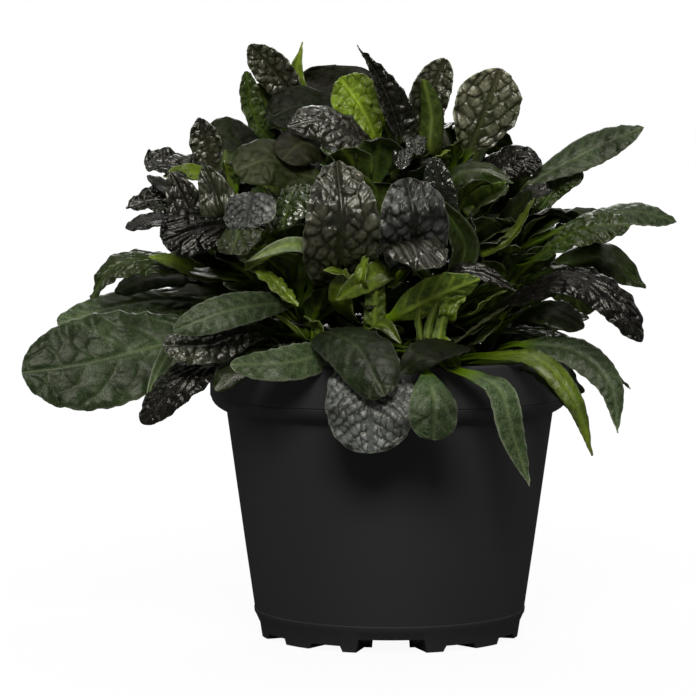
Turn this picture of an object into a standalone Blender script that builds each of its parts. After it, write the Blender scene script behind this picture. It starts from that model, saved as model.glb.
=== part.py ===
"""Bugleweed in a round nursery pot.

A black plastic nursery pot filled with potting mix, carrying nine short
shoots with spatulate, quilted leaves.  Numbers in the tables are in
millimetres and degrees; the objects are built in metres with +Z up and
the origin under the middle of the pot, on the plane that it stands on.
"""

import math

import bmesh
import bpy
from mathutils import Matrix, Vector

MM = 0.001
GAP = 0.3

# Pot: wall, band, lip and foot ring.
POT_SIDES = 72
LIP_R = 90.0
LIP_TOP = 140.0
LIP_BOTTOM = 121.5
BAND_R = 83.5
BAND_TOP = 118.5
BAND_BOTTOM = 112.0
WALL_TOP_R = 81.7
RIDGE_R = 67.7
RIDGE_Z = 11.0
FOOT_TOP_R = 66.0
FOOT_R = 64.0
FOOT_INNER_R = 50.0
WALL = 1.8
FLOOR_UNDER = 7.0
FLOOR_TOP = 9.5
CENTRE_PAD_R = 7.0
NOTCH_COUNT = 12
NOTCH_ANGLE = 15.0
NOTCH_HEIGHT = 2.8
CHANNEL_HEIGHT = 6.6
CHANNEL_WIDE = 34.5
CHANNEL_NARROW = 18.0
DRAIN_HOLES = 8
DRAIN_HOLE_R = 4.5
DRAIN_CIRCLE_R = 36.0

# Potting mix.
SOIL_TOP = 126.0
SOIL_EDGE = 124.5
SOIL_FLAT_R = 76.0
SOIL_SIDES = 48

# Shoots.
SHOOT_SIDES = 10
SHOOT_TRIM = 3.0

# Leaves.
BLADE_THICK = 0.9
PETIOLE_THICK = 2.4
PETIOLE_HALF = 1.5
BLADE_START = 0.30
TIP_HALF = 0.3
SECTION = (
    (-1.0, 0.0),
    (-0.55, 0.9),
    (0.0, 1.0),
    (0.55, 0.9),
    (1.0, 0.0),
    (0.55, -0.9),
    (0.0, -1.0),
    (-0.55, -0.9),
)
STATIONS = (0.0, 0.12, 0.30, 0.38, 0.48, 0.58, 0.69, 0.80, 0.89, 0.95, 0.985, 1.0)

# Shoots: name, foot x, foot y, top x, top y, top z, foot radius, top radius.
SHOOTS = {
    "front": (-6, -20, -10, -24, 222, 3.2, 2.4),
    "right_front": (20, -16, 26, -20, 214, 3.2, 2.4),
    "left_front": (-34, -22, -56, -24, 206, 3.0, 2.2),
    "right": (42, -4, 66, -6, 206, 3.0, 2.2),
    "left": (-44, 8, -80, 10, 224, 3.0, 2.2),
    "middle": (0, 8, 0, 6, 246, 3.2, 2.4),
    "back_left": (-22, 30, -36, 30, 248, 3.0, 2.2),
    "back_right": (22, 28, 34, 26, 244, 3.0, 2.2),
    "right_back": (48, 30, 82, 46, 196, 3.0, 2.2),
}

# Leaves: name, shoot, height on the shoot, points of the midrib from the
# first bend to the tip, blade width, roll at the foot and at the tip,
# cupping of the blade (edges up is positive), outline, colour.
LEAVES = (
    ("leaf_01", "back_left", 240,
     ((-43, 30, 254), (-57, 25, 276), (-69, 19, 294)), 19, -110, -125, 0.15, "oval", "bronze"),
    ("leaf_02", "back_left", 214,
     ((-54, 40, 230), (-76, 44, 248), (-93, 45, 256)), 26, -40, -50, -0.10, "round", "green"),
    ("leaf_03", "left", 222,
     ((-86, 8, 231), (-92, 6, 243), (-95, 3, 257)), 19, -75, -100, 0.25, "oval", "bronze"),
    ("leaf_04", "left", 216,
     ((-92, 14, 228), (-108, 14, 234), (-122, 12, 236)), 18, -35, -40, 0.10, "round", "bronze"),
    ("leaf_05", "left", 206,
     ((-86, -8, 223), (-99, -26, 222), (-108, -40, 210)), 22, -20, -30, -0.15, "round", "bronze"),
    ("leaf_06", "left", 199,
     ((-97, 6, 213), (-116, 4, 219), (-132, 2, 215)), 16, -40, -40, 0.10, "lance", "bronze"),
    ("leaf_07", "left", 190,
     ((-92, -8, 202), (-114, -12, 206), (-131, -14, 202)), 15, -20, -30, 0.05, "oval", "bronze"),
    ("leaf_08", "left_front", 200,
     ((-76, -34, 206), (-95, -44, 204), (-112, -50, 197)), 25, -55, -55, -0.10, "round", "bronze"),
    ("leaf_09", "left_front", 206,
     ((-62, -40, 219), (-70, -56, 221), (-74, -70, 208)), 27, 0, 0, -0.25, "round", "silver"),
    ("leaf_10", "left_front", 190,
     ((-62, -48, 202), (-71, -66, 205), (-76, -80, 193)), 22, 0, 0, -0.20, "round", "green"),
    ("leaf_11", "front", 212,
     ((-32, -34, 220), (-46, -46, 224), (-52, -60, 204)), 23, 0, 0, -0.25, "round", "bright"),
    ("leaf_12", "front", 220,
     ((-28, -30, 236), (-52, -34, 241), (-77, -38, 229)), 30, -60, -60, -0.15, "round", "green"),
    ("leaf_13", "middle", 238,
     ((-20, 11, 252), (-42, 8, 264), (-62, 4, 257)), 25, -60, -60, -0.10, "oval", "green"),
    ("leaf_14", "middle", 224,
     ((-16, -6, 240), (-34, -10, 252), (-50, -12, 243)), 36, -60, -60, -0.15, "oval", "bronze"),
    ("leaf_15", "middle", 236,
     ((-5, 1, 247), (-12, 1, 262), (-23, 2, 278)), 25, -80, -90, 0.10, "oval", "bright"),
    ("leaf_16", "back_left", 246,
     ((-30, 38, 264), (-26, 42, 275), (-20, 44, 283)), 36, 0, 0, 0.20, "round", "bronze"),
    ("leaf_17", "middle", 230,
     ((7, -12, 246), (2, -14, 262), (-4, -14, 279), (-15, -14, 293)), 15, -100, -120, 0.30,
     "lance", "bronze"),
    ("leaf_18", "back_right", 238,
     ((20, 14, 250), (21, 8, 266), (30, 4, 287)), 24, 10, 15, 0.25, "oval", "bronze"),
    ("leaf_19", "back_right", 230,
     ((41, 14, 243), (47, 8, 262), (52, 4, 283)), 35, 140, 146, 0.10, "round", "bronze"),
    ("leaf_20", "back_right", 214,
     ((46, 8, 228), (60, 2, 238), (76, -2, 234)), 24, 45, 50, -0.15, "oval", "purple"),
    ("leaf_21", "right", 204,
     ((72, 2, 219), (98, 2, 241), (127, 0, 252)), 20, 50, 60, -0.10, "lance", "sage"),
    ("leaf_22", "right", 196,
     ((80, -10, 204), (112, -14, 212), (142, -14, 205)), 19, 25, 30, -0.20, "lance", "sage"),
    ("leaf_23", "right", 184,
     ((74, -26, 198), (98, -40, 206), (115, -48, 197)), 26, 35, 40, -0.15, "oval", "green"),
    ("leaf_24", "right", 176,
     ((78, 2, 190), (106, -4, 194), (127, -8, 174)), 25, 25, 30, -0.10, "lance", "green"),
    ("leaf_25", "right_front", 148,
     ((57, -40, 168), (86, -54, 182), (108, -62, 170), (119, -64, 150)), 27, 35, 40, -0.20,
     "oval", "purple"),
    ("leaf_26", "right", 146,
     ((66, -22, 158), (92, -34, 164), (108, -38, 155)), 24, 30, 30, -0.10, "oval", "green"),
    ("leaf_27", "right", 134,
     ((60, -28, 148), (86, -40, 147), (101, -48, 133), (107, -52, 106)), 22, 35, 45, -0.15,
     "lance", "sage"),
    ("leaf_28", "right_front", 134,
     ((44, -58, 144), (64, -76, 145), (84, -86, 126), (94, -88, 99)), 18, 25, 35, -0.20,
     "lance", "bright"),
    ("leaf_29", "right_front", 141,
     ((30, -76, 148), (42, -96, 141), (52, -102, 126), (58, -102, 106), (62, -101, 84)), 15,
     0, 10, -0.15, "oval", "sage"),
    ("leaf_30", "front", 134,
     ((12, -66, 148), (18, -98, 145), (19, -118, 128), (18, -120, 108)), 23, 0, 0, -0.20,
     "round", "sage"),
    ("leaf_31", "front", 142,
     ((-6, -64, 150), (-10, -94, 143), (-11, -109, 126), (-10, -111, 102)), 42, 0, 0, -0.20,
     "round", "silver"),
    ("leaf_32", "front", 150,
     ((-30, -70, 157), (-16, -104, 151), (-4, -118, 130)), 29, 10, 20, -0.25, "round", "sage"),
    ("leaf_33", "left_front", 134,
     ((-36, -60, 151), (-50, -92, 148), (-76, -88, 141)), 21, -45, -50, -0.15, "oval", "sage"),
    ("leaf_34", "left_front", 160,
     ((-62, -46, 168), (-84, -56, 168), (-104, -60, 158)), 25, -50, -50, -0.10, "oval", "sage"),
    ("leaf_35", "left", 148,
     ((-78, -8, 158), (-116, -26, 150), (-150, -38, 141), (-179, -44, 133)), 52, -60, -68,
     -0.10, "round", "sage"),
    ("leaf_36", "left_front", 150,
     ((-62, -62, 152), (-90, -80, 150), (-104, -86, 136)), 26, -30, -40, 0.20, "round", "bronze"),
    ("leaf_37", "left_front", 141,
     ((-64, -52, 146), (-88, -68, 141), (-106, -72, 125), (-117, -70, 108)), 22, -30, -40,
     -0.20, "lance", "purple"),
    ("leaf_38", "left", 178,
     ((-90, -6, 189), (-116, -12, 191), (-138, -16, 184), (-147, -18, 169)), 27, -25, -30,
     -0.20, "lance", "green"),
    ("leaf_39", "left_front", 178,
     ((-48, -52, 190), (-58, -66, 192), (-70, -74, 186)), 18, -20, -20, 0.20, "lance", "bright"),
    ("leaf_40", "front", 190,
     ((-20, -46, 202), (-22, -70, 221), (-23, -74, 237)), 35, 0, 0, -0.15, "oval", "bronze"),
    ("leaf_41", "right_front", 208,
     ((16, -42, 219), (11, -60, 225), (7, -74, 199)), 32, 0, 0, -0.25, "round", "silver"),
    ("leaf_42", "front", 182,
     ((-2, -50, 193), (10, -74, 198), (22, -88, 187)), 28, 0, 10, -0.20, "oval", "bronze"),
    ("leaf_43", "right_front", 188,
     ((28, -40, 202), (32, -56, 207), (34, -68, 187)), 22, 0, 0, -0.10, "oval", "green"),
    ("leaf_44", "front", 160,
     ((2, -48, 166), (20, -62, 173), (38, -70, 181)), 26, -35, -45, 0.10, "round", "bright"),
    ("leaf_45", "back_left", 196,
     ((-46, 70, 206), (-58, 104, 202), (-66, 132, 182)), 30, 0, 0, -0.15, "oval", "green"),
    ("leaf_46", "back_right", 200,
     ((44, 72, 208), (56, 106, 204), (66, 132, 186)), 30, 0, 0, -0.15, "oval", "bronze"),
    ("leaf_47", "middle", 206,
     ((0, 52, 228), (0, 86, 236), (2, 116, 222)), 28, 0, 0, -0.15, "oval", "bronze"),
    ("leaf_48", "right_back", 158,
     ((84, 66, 168), (106, 86, 160), (120, 98, 138)), 28, 0, 0, -0.15, "oval", "sage"),
    ("leaf_49", "left", 160,
     ((-84, 46, 170), (-108, 72, 162), (-122, 86, 140)), 30, 0, 0, -0.15, "round", "green"),
)

# Blade outlines: how fast the blade widens, and how blunt its tip is.
OUTLINES = {
    "round": (0.85, 0.42),
    "oval": (0.95, 0.62),
    "lance": (0.85, 0.80),
}

# Colours: base colour (linear), roughness.
COLOURS = {
    "bronze": ((0.035, 0.030, 0.020), 0.35),
    "purple": ((0.030, 0.018, 0.020), 0.35),
    "green": ((0.060, 0.095, 0.025), 0.40),
    "sage": ((0.130, 0.200, 0.100), 0.50),
    "silver": ((0.180, 0.200, 0.160), 0.45),
    "bright": ((0.250, 0.360, 0.080), 0.45),
    "stem": ((0.150, 0.220, 0.040), 0.45),
    "soil": ((0.030, 0.020, 0.013), 0.95),
    "pot": ((0.018, 0.018, 0.019), 0.45),
}


def clear_scene():
    for item in list(bpy.data.objects):
        bpy.data.objects.remove(item, do_unlink=True)


def make_plant_root():
    """Empty on the pot's axis that every piece is parented to."""
    root = bpy.data.objects.new("bugleweed", None)
    root.empty_display_size = 0.05
    bpy.context.scene.collection.objects.link(root)
    return root


def make_material(name, colour, roughness):
    material = bpy.data.materials.new(name)
    material.use_nodes = True
    shader = material.node_tree.nodes["Principled BSDF"]
    shader.inputs["Base Color"].default_value = (*colour, 1.0)
    shader.inputs["Roughness"].default_value = roughness
    shader.inputs["Metallic"].default_value = 0.0
    material.diffuse_color = (*colour, 1.0)
    return material


def finish_object(name, bm, colour, root, place=(0.0, 0.0, 0.0)):
    """Turn a bmesh in millimetres into a named object with its origin at a place."""
    origin = Vector(place)
    bmesh.ops.recalc_face_normals(bm, faces=bm.faces)
    bmesh.ops.translate(bm, vec=-origin, verts=bm.verts)
    bmesh.ops.scale(bm, vec=(MM, MM, MM), verts=bm.verts)
    mesh = bpy.data.meshes.new(name)
    bm.to_mesh(mesh)
    bm.free()
    mesh.shade_smooth()
    mesh.set_sharp_from_angle(angle=math.radians(35.0))
    item = bpy.data.objects.new(name, mesh)
    item.location = origin * MM
    item.parent = root
    bpy.context.scene.collection.objects.link(item)
    base, roughness = COLOURS[colour]
    mesh.materials.append(make_material(name + "_material", base, roughness))
    return item


def lathe(profile, sides):
    """Closed body spun about Z from (radius, height) points that start and end on the axis."""
    bm = bmesh.new()
    points = [bm.verts.new((radius, 0.0, height)) for radius, height in profile]
    lines = [bm.edges.new(pair) for pair in zip(points, points[1:])]
    bmesh.ops.spin(bm, geom=points + lines, cent=(0.0, 0.0, 0.0), axis=(0.0, 0.0, 1.0),
                   angle=2.0 * math.pi, steps=sides)
    bmesh.ops.remove_doubles(bm, verts=bm.verts, dist=0.01)
    return bm


def make_cutter(name, corners, low, high, root):
    """Upright prism that a Boolean cuts away."""
    bm = bmesh.new()
    face = bm.faces.new([bm.verts.new((x, y, low)) for x, y in corners])
    raised = bmesh.ops.extrude_face_region(bm, geom=[face])
    top = [part for part in raised["geom"] if isinstance(part, bmesh.types.BMVert)]
    bmesh.ops.translate(bm, vec=(0.0, 0.0, high - low), verts=top)
    cutter = finish_object(name, bm, "pot", root)
    cutter.hide_render = True
    cutter.display_type = "WIRE"
    return cutter


def turned(corners, degrees):
    angle = math.radians(degrees)
    cosine = math.cos(angle)
    sine = math.sin(angle)
    return [(x * cosine - y * sine, x * sine + y * cosine) for x, y in corners]


def cut(body, cutter):
    modifier = body.modifiers.new(cutter.name, "BOOLEAN")
    modifier.operation = "DIFFERENCE"
    modifier.solver = "EXACT"
    modifier.object = cutter


def pot_profile():
    inner_lip = LIP_R - WALL
    inner_wall = WALL_TOP_R - WALL
    return (
        (0.0, 0.0),
        (CENTRE_PAD_R, 0.0),
        (CENTRE_PAD_R + 0.6, FLOOR_UNDER),
        (FOOT_INNER_R - 0.6, FLOOR_UNDER),
        (FOOT_INNER_R, 0.0),
        (FOOT_R, 0.0),
        (FOOT_TOP_R, RIDGE_Z - 1.0),
        (RIDGE_R, RIDGE_Z),
        (WALL_TOP_R, BAND_BOTTOM),
        (BAND_R - 0.3, BAND_BOTTOM),
        (BAND_R, BAND_TOP),
        (LIP_R - 1.6, LIP_BOTTOM - 0.9),
        (LIP_R, LIP_BOTTOM),
        (LIP_R, LIP_TOP - 0.9),
        (LIP_R - 0.9, LIP_TOP),
        (inner_lip, LIP_TOP - 0.6),
        (inner_lip, LIP_BOTTOM + 1.0),
        (BAND_R - WALL + 0.3, BAND_TOP + 1.0),
        (inner_wall, BAND_BOTTOM),
        (RIDGE_R - WALL, RIDGE_Z + 1.5),
        (RIDGE_R - WALL - 2.0, FLOOR_TOP),
        (0.0, FLOOR_TOP),
    )


def cut_feet(pot, root):
    """Cut the foot ring into pads: four wide channels and shallow notches between."""
    half = math.radians(NOTCH_ANGLE / 2.0)
    outer = FOOT_TOP_R + 4.0
    inner = FOOT_INNER_R - 3.0
    wedge = (
        (inner * math.cos(half), -inner * math.sin(half)),
        (outer * math.cos(half), -outer * math.sin(half)),
        (outer * math.cos(half), outer * math.sin(half)),
        (inner * math.cos(half), inner * math.sin(half)),
    )
    channel = (
        (inner, -CHANNEL_NARROW / 2.0),
        (outer, -CHANNEL_WIDE / 2.0 - 1.0),
        (outer, CHANNEL_WIDE / 2.0 + 1.0),
        (inner, CHANNEL_NARROW / 2.0),
    )
    for index in range(NOTCH_COUNT):
        turn = 360.0 * index / NOTCH_COUNT
        wide = index % 3 == 0
        corners = turned(channel if wide else wedge, turn)
        height = CHANNEL_HEIGHT if wide else NOTCH_HEIGHT
        cut(pot, make_cutter("foot_cutter_%02d" % index, corners, -2.0, height, root))


def cut_drains(pot, root):
    """Cut a circle of drain holes through the floor."""
    hole = []
    for step in range(12):
        angle = 2.0 * math.pi * step / 12
        hole.append((DRAIN_CIRCLE_R + DRAIN_HOLE_R * math.cos(angle),
                     DRAIN_HOLE_R * math.sin(angle)))
    for index in range(DRAIN_HOLES):
        corners = turned(hole, 360.0 * (index + 0.5) / DRAIN_HOLES)
        cutter = make_cutter("drain_cutter_%02d" % index, corners,
                             FLOOR_UNDER - 2.0, FLOOR_TOP + 2.0, root)
        cut(pot, cutter)


def build_pot(root):
    pot = finish_object("pot", lathe(pot_profile(), POT_SIDES), "pot", root)
    cut_feet(pot, root)
    cut_drains(pot, root)
    return pot


def build_soil(root):
    inner_wall = WALL_TOP_R - WALL - GAP
    inner_lip = LIP_R - WALL - GAP - 0.4
    profile = (
        (0.0, FLOOR_TOP + GAP),
        (RIDGE_R - WALL - 2.6, FLOOR_TOP + GAP),
        (RIDGE_R - WALL - 0.4, RIDGE_Z + 1.6),
        (inner_wall, BAND_BOTTOM),
        (BAND_R - WALL - 0.1, BAND_TOP + 1.4),
        (inner_lip, LIP_BOTTOM + 1.6),
        (inner_lip, SOIL_EDGE),
        (SOIL_FLAT_R, SOIL_TOP),
        (0.0, SOIL_TOP),
    )
    return finish_object("soil", lathe(profile, SOIL_SIDES), "soil", root)


def shoot_axis(name):
    foot_x, foot_y, top_x, top_y, top_z, foot_r, top_r = SHOOTS[name]
    foot = Vector((foot_x, foot_y, SOIL_TOP + GAP))
    top = Vector((top_x, top_y, top_z))
    return foot, top, foot_r, top_r


def build_shoot(name, root):
    """Tapered round stem that leans from the soil, its foot trimmed level."""
    foot, top, foot_r, top_r = shoot_axis(name)
    along = top - foot
    under = along.normalized() * SHOOT_TRIM
    lean = Vector((0.0, 0.0, 1.0)).rotation_difference(along).to_matrix().to_4x4()
    middle = (foot - under + top) / 2.0
    bm = bmesh.new()
    bmesh.ops.create_cone(bm, cap_ends=True, segments=SHOOT_SIDES, radius1=foot_r,
                          radius2=top_r, depth=along.length + SHOOT_TRIM,
                          matrix=Matrix.Translation(middle) @ lean)
    every = bm.verts[:] + bm.edges[:] + bm.faces[:]
    bmesh.ops.bisect_plane(bm, geom=every, plane_co=foot, plane_no=(0.0, 0.0, 1.0),
                           clear_inner=True)
    rim = [edge for edge in bm.edges if edge.is_boundary]
    bmesh.ops.holes_fill(bm, edges=rim, sides=0)
    return finish_object("shoot_" + name, bm, "stem", root, foot)


def spline_point(points, place):
    """Point of a smooth curve through all the points, place from 0 to 1."""
    spans = len(points) - 1
    index = min(int(place * spans), spans - 1)
    t = place * spans - index
    p1 = points[index]
    p2 = points[index + 1]
    p0 = points[index - 1] if index > 0 else p1 * 2.0 - p2
    p3 = points[index + 2] if index + 2 <= spans else p2 * 2.0 - p1
    return 0.5 * (p1 * 2.0 + (p2 - p0) * t + (p0 * 2.0 - p1 * 5.0 + p2 * 4.0 - p3) * t ** 2
                  + (p1 * 3.0 - p0 - p2 * 3.0 + p3) * t ** 3)


def midrib_places(points, shares):
    """Points and directions of the midrib at shares of its length."""
    fine = [spline_point(points, step / 96.0) for step in range(97)]
    lengths = [0.0]
    for first, second in zip(fine, fine[1:]):
        lengths.append(lengths[-1] + (second - first).length)
    found = []
    for share in shares:
        wanted = share * lengths[-1]
        index = 1
        while index < 96 and lengths[index] < wanted:
            index += 1
        part = (wanted - lengths[index - 1]) / (lengths[index] - lengths[index - 1])
        centre = fine[index - 1].lerp(fine[index], part)
        ahead = fine[min(index + 1, 96)]
        behind = fine[max(index - 2, 0)]
        found.append((centre, (ahead - behind).normalized()))
    return found


def leaf_base(shoot, height, toward):
    """Where a leaf stalk meets its shoot: point, outward direction, shoot direction."""
    foot, top, foot_r, top_r = shoot_axis(shoot)
    along = (top - foot).normalized()
    share = (height - foot.z) / (top.z - foot.z)
    centre = foot.lerp(top, share)
    outward = toward - centre
    outward = (outward - along * outward.dot(along)).normalized()
    radius = foot_r + (top_r - foot_r) * share
    return centre + outward * (radius + GAP), outward, along


def half_width(share, width, outline):
    """Half the leaf's width at a share of its length: stalk, then blade."""
    if share <= BLADE_START:
        return PETIOLE_HALF
    place = (share - BLADE_START) / (1.0 - BLADE_START)
    rise, fall = OUTLINES[outline]
    peak = rise / (rise + fall)
    most = peak ** rise * (1.0 - peak) ** fall
    shape = place ** rise * (1.0 - place) ** fall / most
    return PETIOLE_HALF + (width / 2.0 - PETIOLE_HALF) * shape


def leaf_frame(share, direction, level, roll_foot, roll_tip):
    """Directions across and out of the leaf's upper face at a share of its length."""
    across = (level - direction * level.dot(direction)).normalized()
    normal = direction.cross(across)
    roll = math.radians(roll_foot + (roll_tip - roll_foot) * share)
    if share < 0.2:
        roll *= 0.5
    cosine = math.cos(roll)
    sine = math.sin(roll)
    return across * cosine + normal * sine, normal * cosine - across * sine


def add_section(bm, centre, across, normal, half, thick, sag):
    """Ring of eight points: two sharp margins and a rounded face above and below."""
    ring = []
    for spot, lift in SECTION:
        rise = sag * half * spot * spot + lift * thick / 2.0
        ring.append(bm.verts.new(centre + across * (half * spot) + normal * rise))
    sides = zip(ring, ring[1:] + ring[:1])
    return [bm.edges.new(pair) for pair in sides]


def build_leaf(row, root):
    name, shoot, height, route, width, roll_foot, roll_tip, cup, outline, colour = row
    points = [Vector(place) for place in route]
    base, outward, along = leaf_base(shoot, height, points[0])
    points.insert(0, base)
    chord = points[-1] - base
    level = Vector((0.0, 0.0, 1.0)).cross(Vector((chord.x, chord.y, 0.0)).normalized())
    bm = bmesh.new()
    rings = []
    for share, (centre, direction) in zip(STATIONS, midrib_places(points, STATIONS)):
        across, normal = leaf_frame(share, direction, level, roll_foot, roll_tip)
        if share == 0.0:
            across = along.cross(outward).normalized()
            normal = along
        blend = min(max((share - 0.2) / 0.3, 0.0), 1.0)
        thick = PETIOLE_THICK + (BLADE_THICK - PETIOLE_THICK) * blend
        half = half_width(share, width, outline)
        if share == STATIONS[-1]:
            half = TIP_HALF
            thick = TIP_HALF
        rings.append(add_section(bm, centre, across, normal, half, thick, cup * blend))
    for lower, upper in zip(rings, rings[1:]):
        bmesh.ops.bridge_loops(bm, edges=lower + upper)
    for end in (rings[0], rings[-1]):
        bmesh.ops.holes_fill(bm, edges=end, sides=0)
    return finish_object(name, bm, colour, root, base)


def main():
    clear_scene()
    root = make_plant_root()
    build_pot(root)
    build_soil(root)
    for name in SHOOTS:
        build_shoot(name, root)
    for row in LEAVES:
        build_leaf(row, root)


main()
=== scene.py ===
"""Looks of the potted bugleweed, laid out as an add-on.

Every piece is built in metres, in the frame of the CAD model: +Z up, the
origin under the middle of the pot.  The tables of shoots and leaves are in
millimetres and degrees, as the part's own tables are.
"""

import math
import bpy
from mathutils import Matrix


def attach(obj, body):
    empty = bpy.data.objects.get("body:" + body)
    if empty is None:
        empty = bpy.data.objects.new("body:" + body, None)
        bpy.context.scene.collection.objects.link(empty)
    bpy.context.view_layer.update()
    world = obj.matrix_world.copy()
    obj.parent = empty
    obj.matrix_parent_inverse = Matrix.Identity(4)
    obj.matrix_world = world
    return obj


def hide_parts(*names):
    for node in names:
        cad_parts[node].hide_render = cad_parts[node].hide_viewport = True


bl_info = {
    "name": "Potted Bugleweed",
    "version": (1, 0, 0),
    "blender": (4, 5, 0),
    "location": "View3D > Sidebar > Bugleweed",
    "description": "Builds the leaves, shoots, potting mix and nursery pot of a bugleweed",
    "category": "Add Mesh",
}

import bmesh
import bpy
import numpy as np
from bpy.props import FloatProperty, FloatVectorProperty, IntProperty, PointerProperty
from mathutils import Vector

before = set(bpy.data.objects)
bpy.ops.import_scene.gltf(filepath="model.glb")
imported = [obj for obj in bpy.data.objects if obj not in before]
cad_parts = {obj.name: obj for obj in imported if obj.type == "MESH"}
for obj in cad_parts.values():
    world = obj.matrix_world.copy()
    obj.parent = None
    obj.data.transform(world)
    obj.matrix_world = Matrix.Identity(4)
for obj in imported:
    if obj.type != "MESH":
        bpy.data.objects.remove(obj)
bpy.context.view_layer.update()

MM = 0.001
BLADE_START = 0.30
# Leaves whose blade starts nearer or further along the stalk than most.
LATE_BLADES = {"leaf_30": 0.70, "leaf_31": 0.40, "leaf_28": 0.34, "leaf_29": 0.54,
               "leaf_40": 0.16, "leaf_41": 0.20, "leaf_09": 0.40, "leaf_15": 0.24,
               "leaf_19": 0.22, "leaf_21": 0.18, "leaf_25": 0.22, "leaf_20": 0.2,
               "leaf_44": 0.42, "leaf_05": 0.2, "left_olive": 0.2, "front_gloss": 0.2}
# Half widths of the flat, winged stalks.
WINGED_STALKS = {"leaf_28": 3.0, "leaf_29": 4.2, "leaf_44": 3.6}
# Leaves folded along the midrib, and how steeply.
FOLDED = {"leaf_17": 0.50, "leaf_18": 0.20, "leaf_39": 0.55,
          "right_fold": 0.80, "leaf_43": 0.45, "crown_blade": 0.5}
PETIOLE_HALF = 1.5
TIP_HALF = 0.3

# Pot, in metres: underside and top of its floor, and the ring of drain holes.
FLOOR_UNDER = 0.007
FLOOR_TOP = 0.0095
DRAINS = 8
DRAIN_RING = 0.036
DRAIN_RADIUS = 0.0045
MIX_RADIUS = 0.0878

# Shoots: foot x, foot y, top x, top y, top z, foot radius, top radius.
SOIL_TOP = 126.3
NODE_GAP = 21.0
SHOOT_RINGS = 40
FIRST_PAIR = 136.0
PAIR_GAP = 19.0
SHOOTS = {
    "front": (-6, -20, -10, -24, 222, 3.2, 2.4),
    "right_front": (20, -16, 26, -20, 214, 3.2, 2.4),
    "left_front": (-34, -22, -56, -24, 206, 3.0, 2.2),
    "right": (42, -4, 66, -6, 206, 3.0, 2.2),
    "left": (-44, 8, -80, 10, 224, 3.0, 2.2),
    "middle": (0, 8, 0, 6, 246, 3.2, 2.4),
    "back_left": (-22, 30, -36, 30, 248, 3.0, 2.2),
    "back_right": (22, 28, 34, 26, 244, 3.0, 2.2),
    "right_back": (48, 30, 82, 46, 196, 3.0, 2.2),
}

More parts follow.
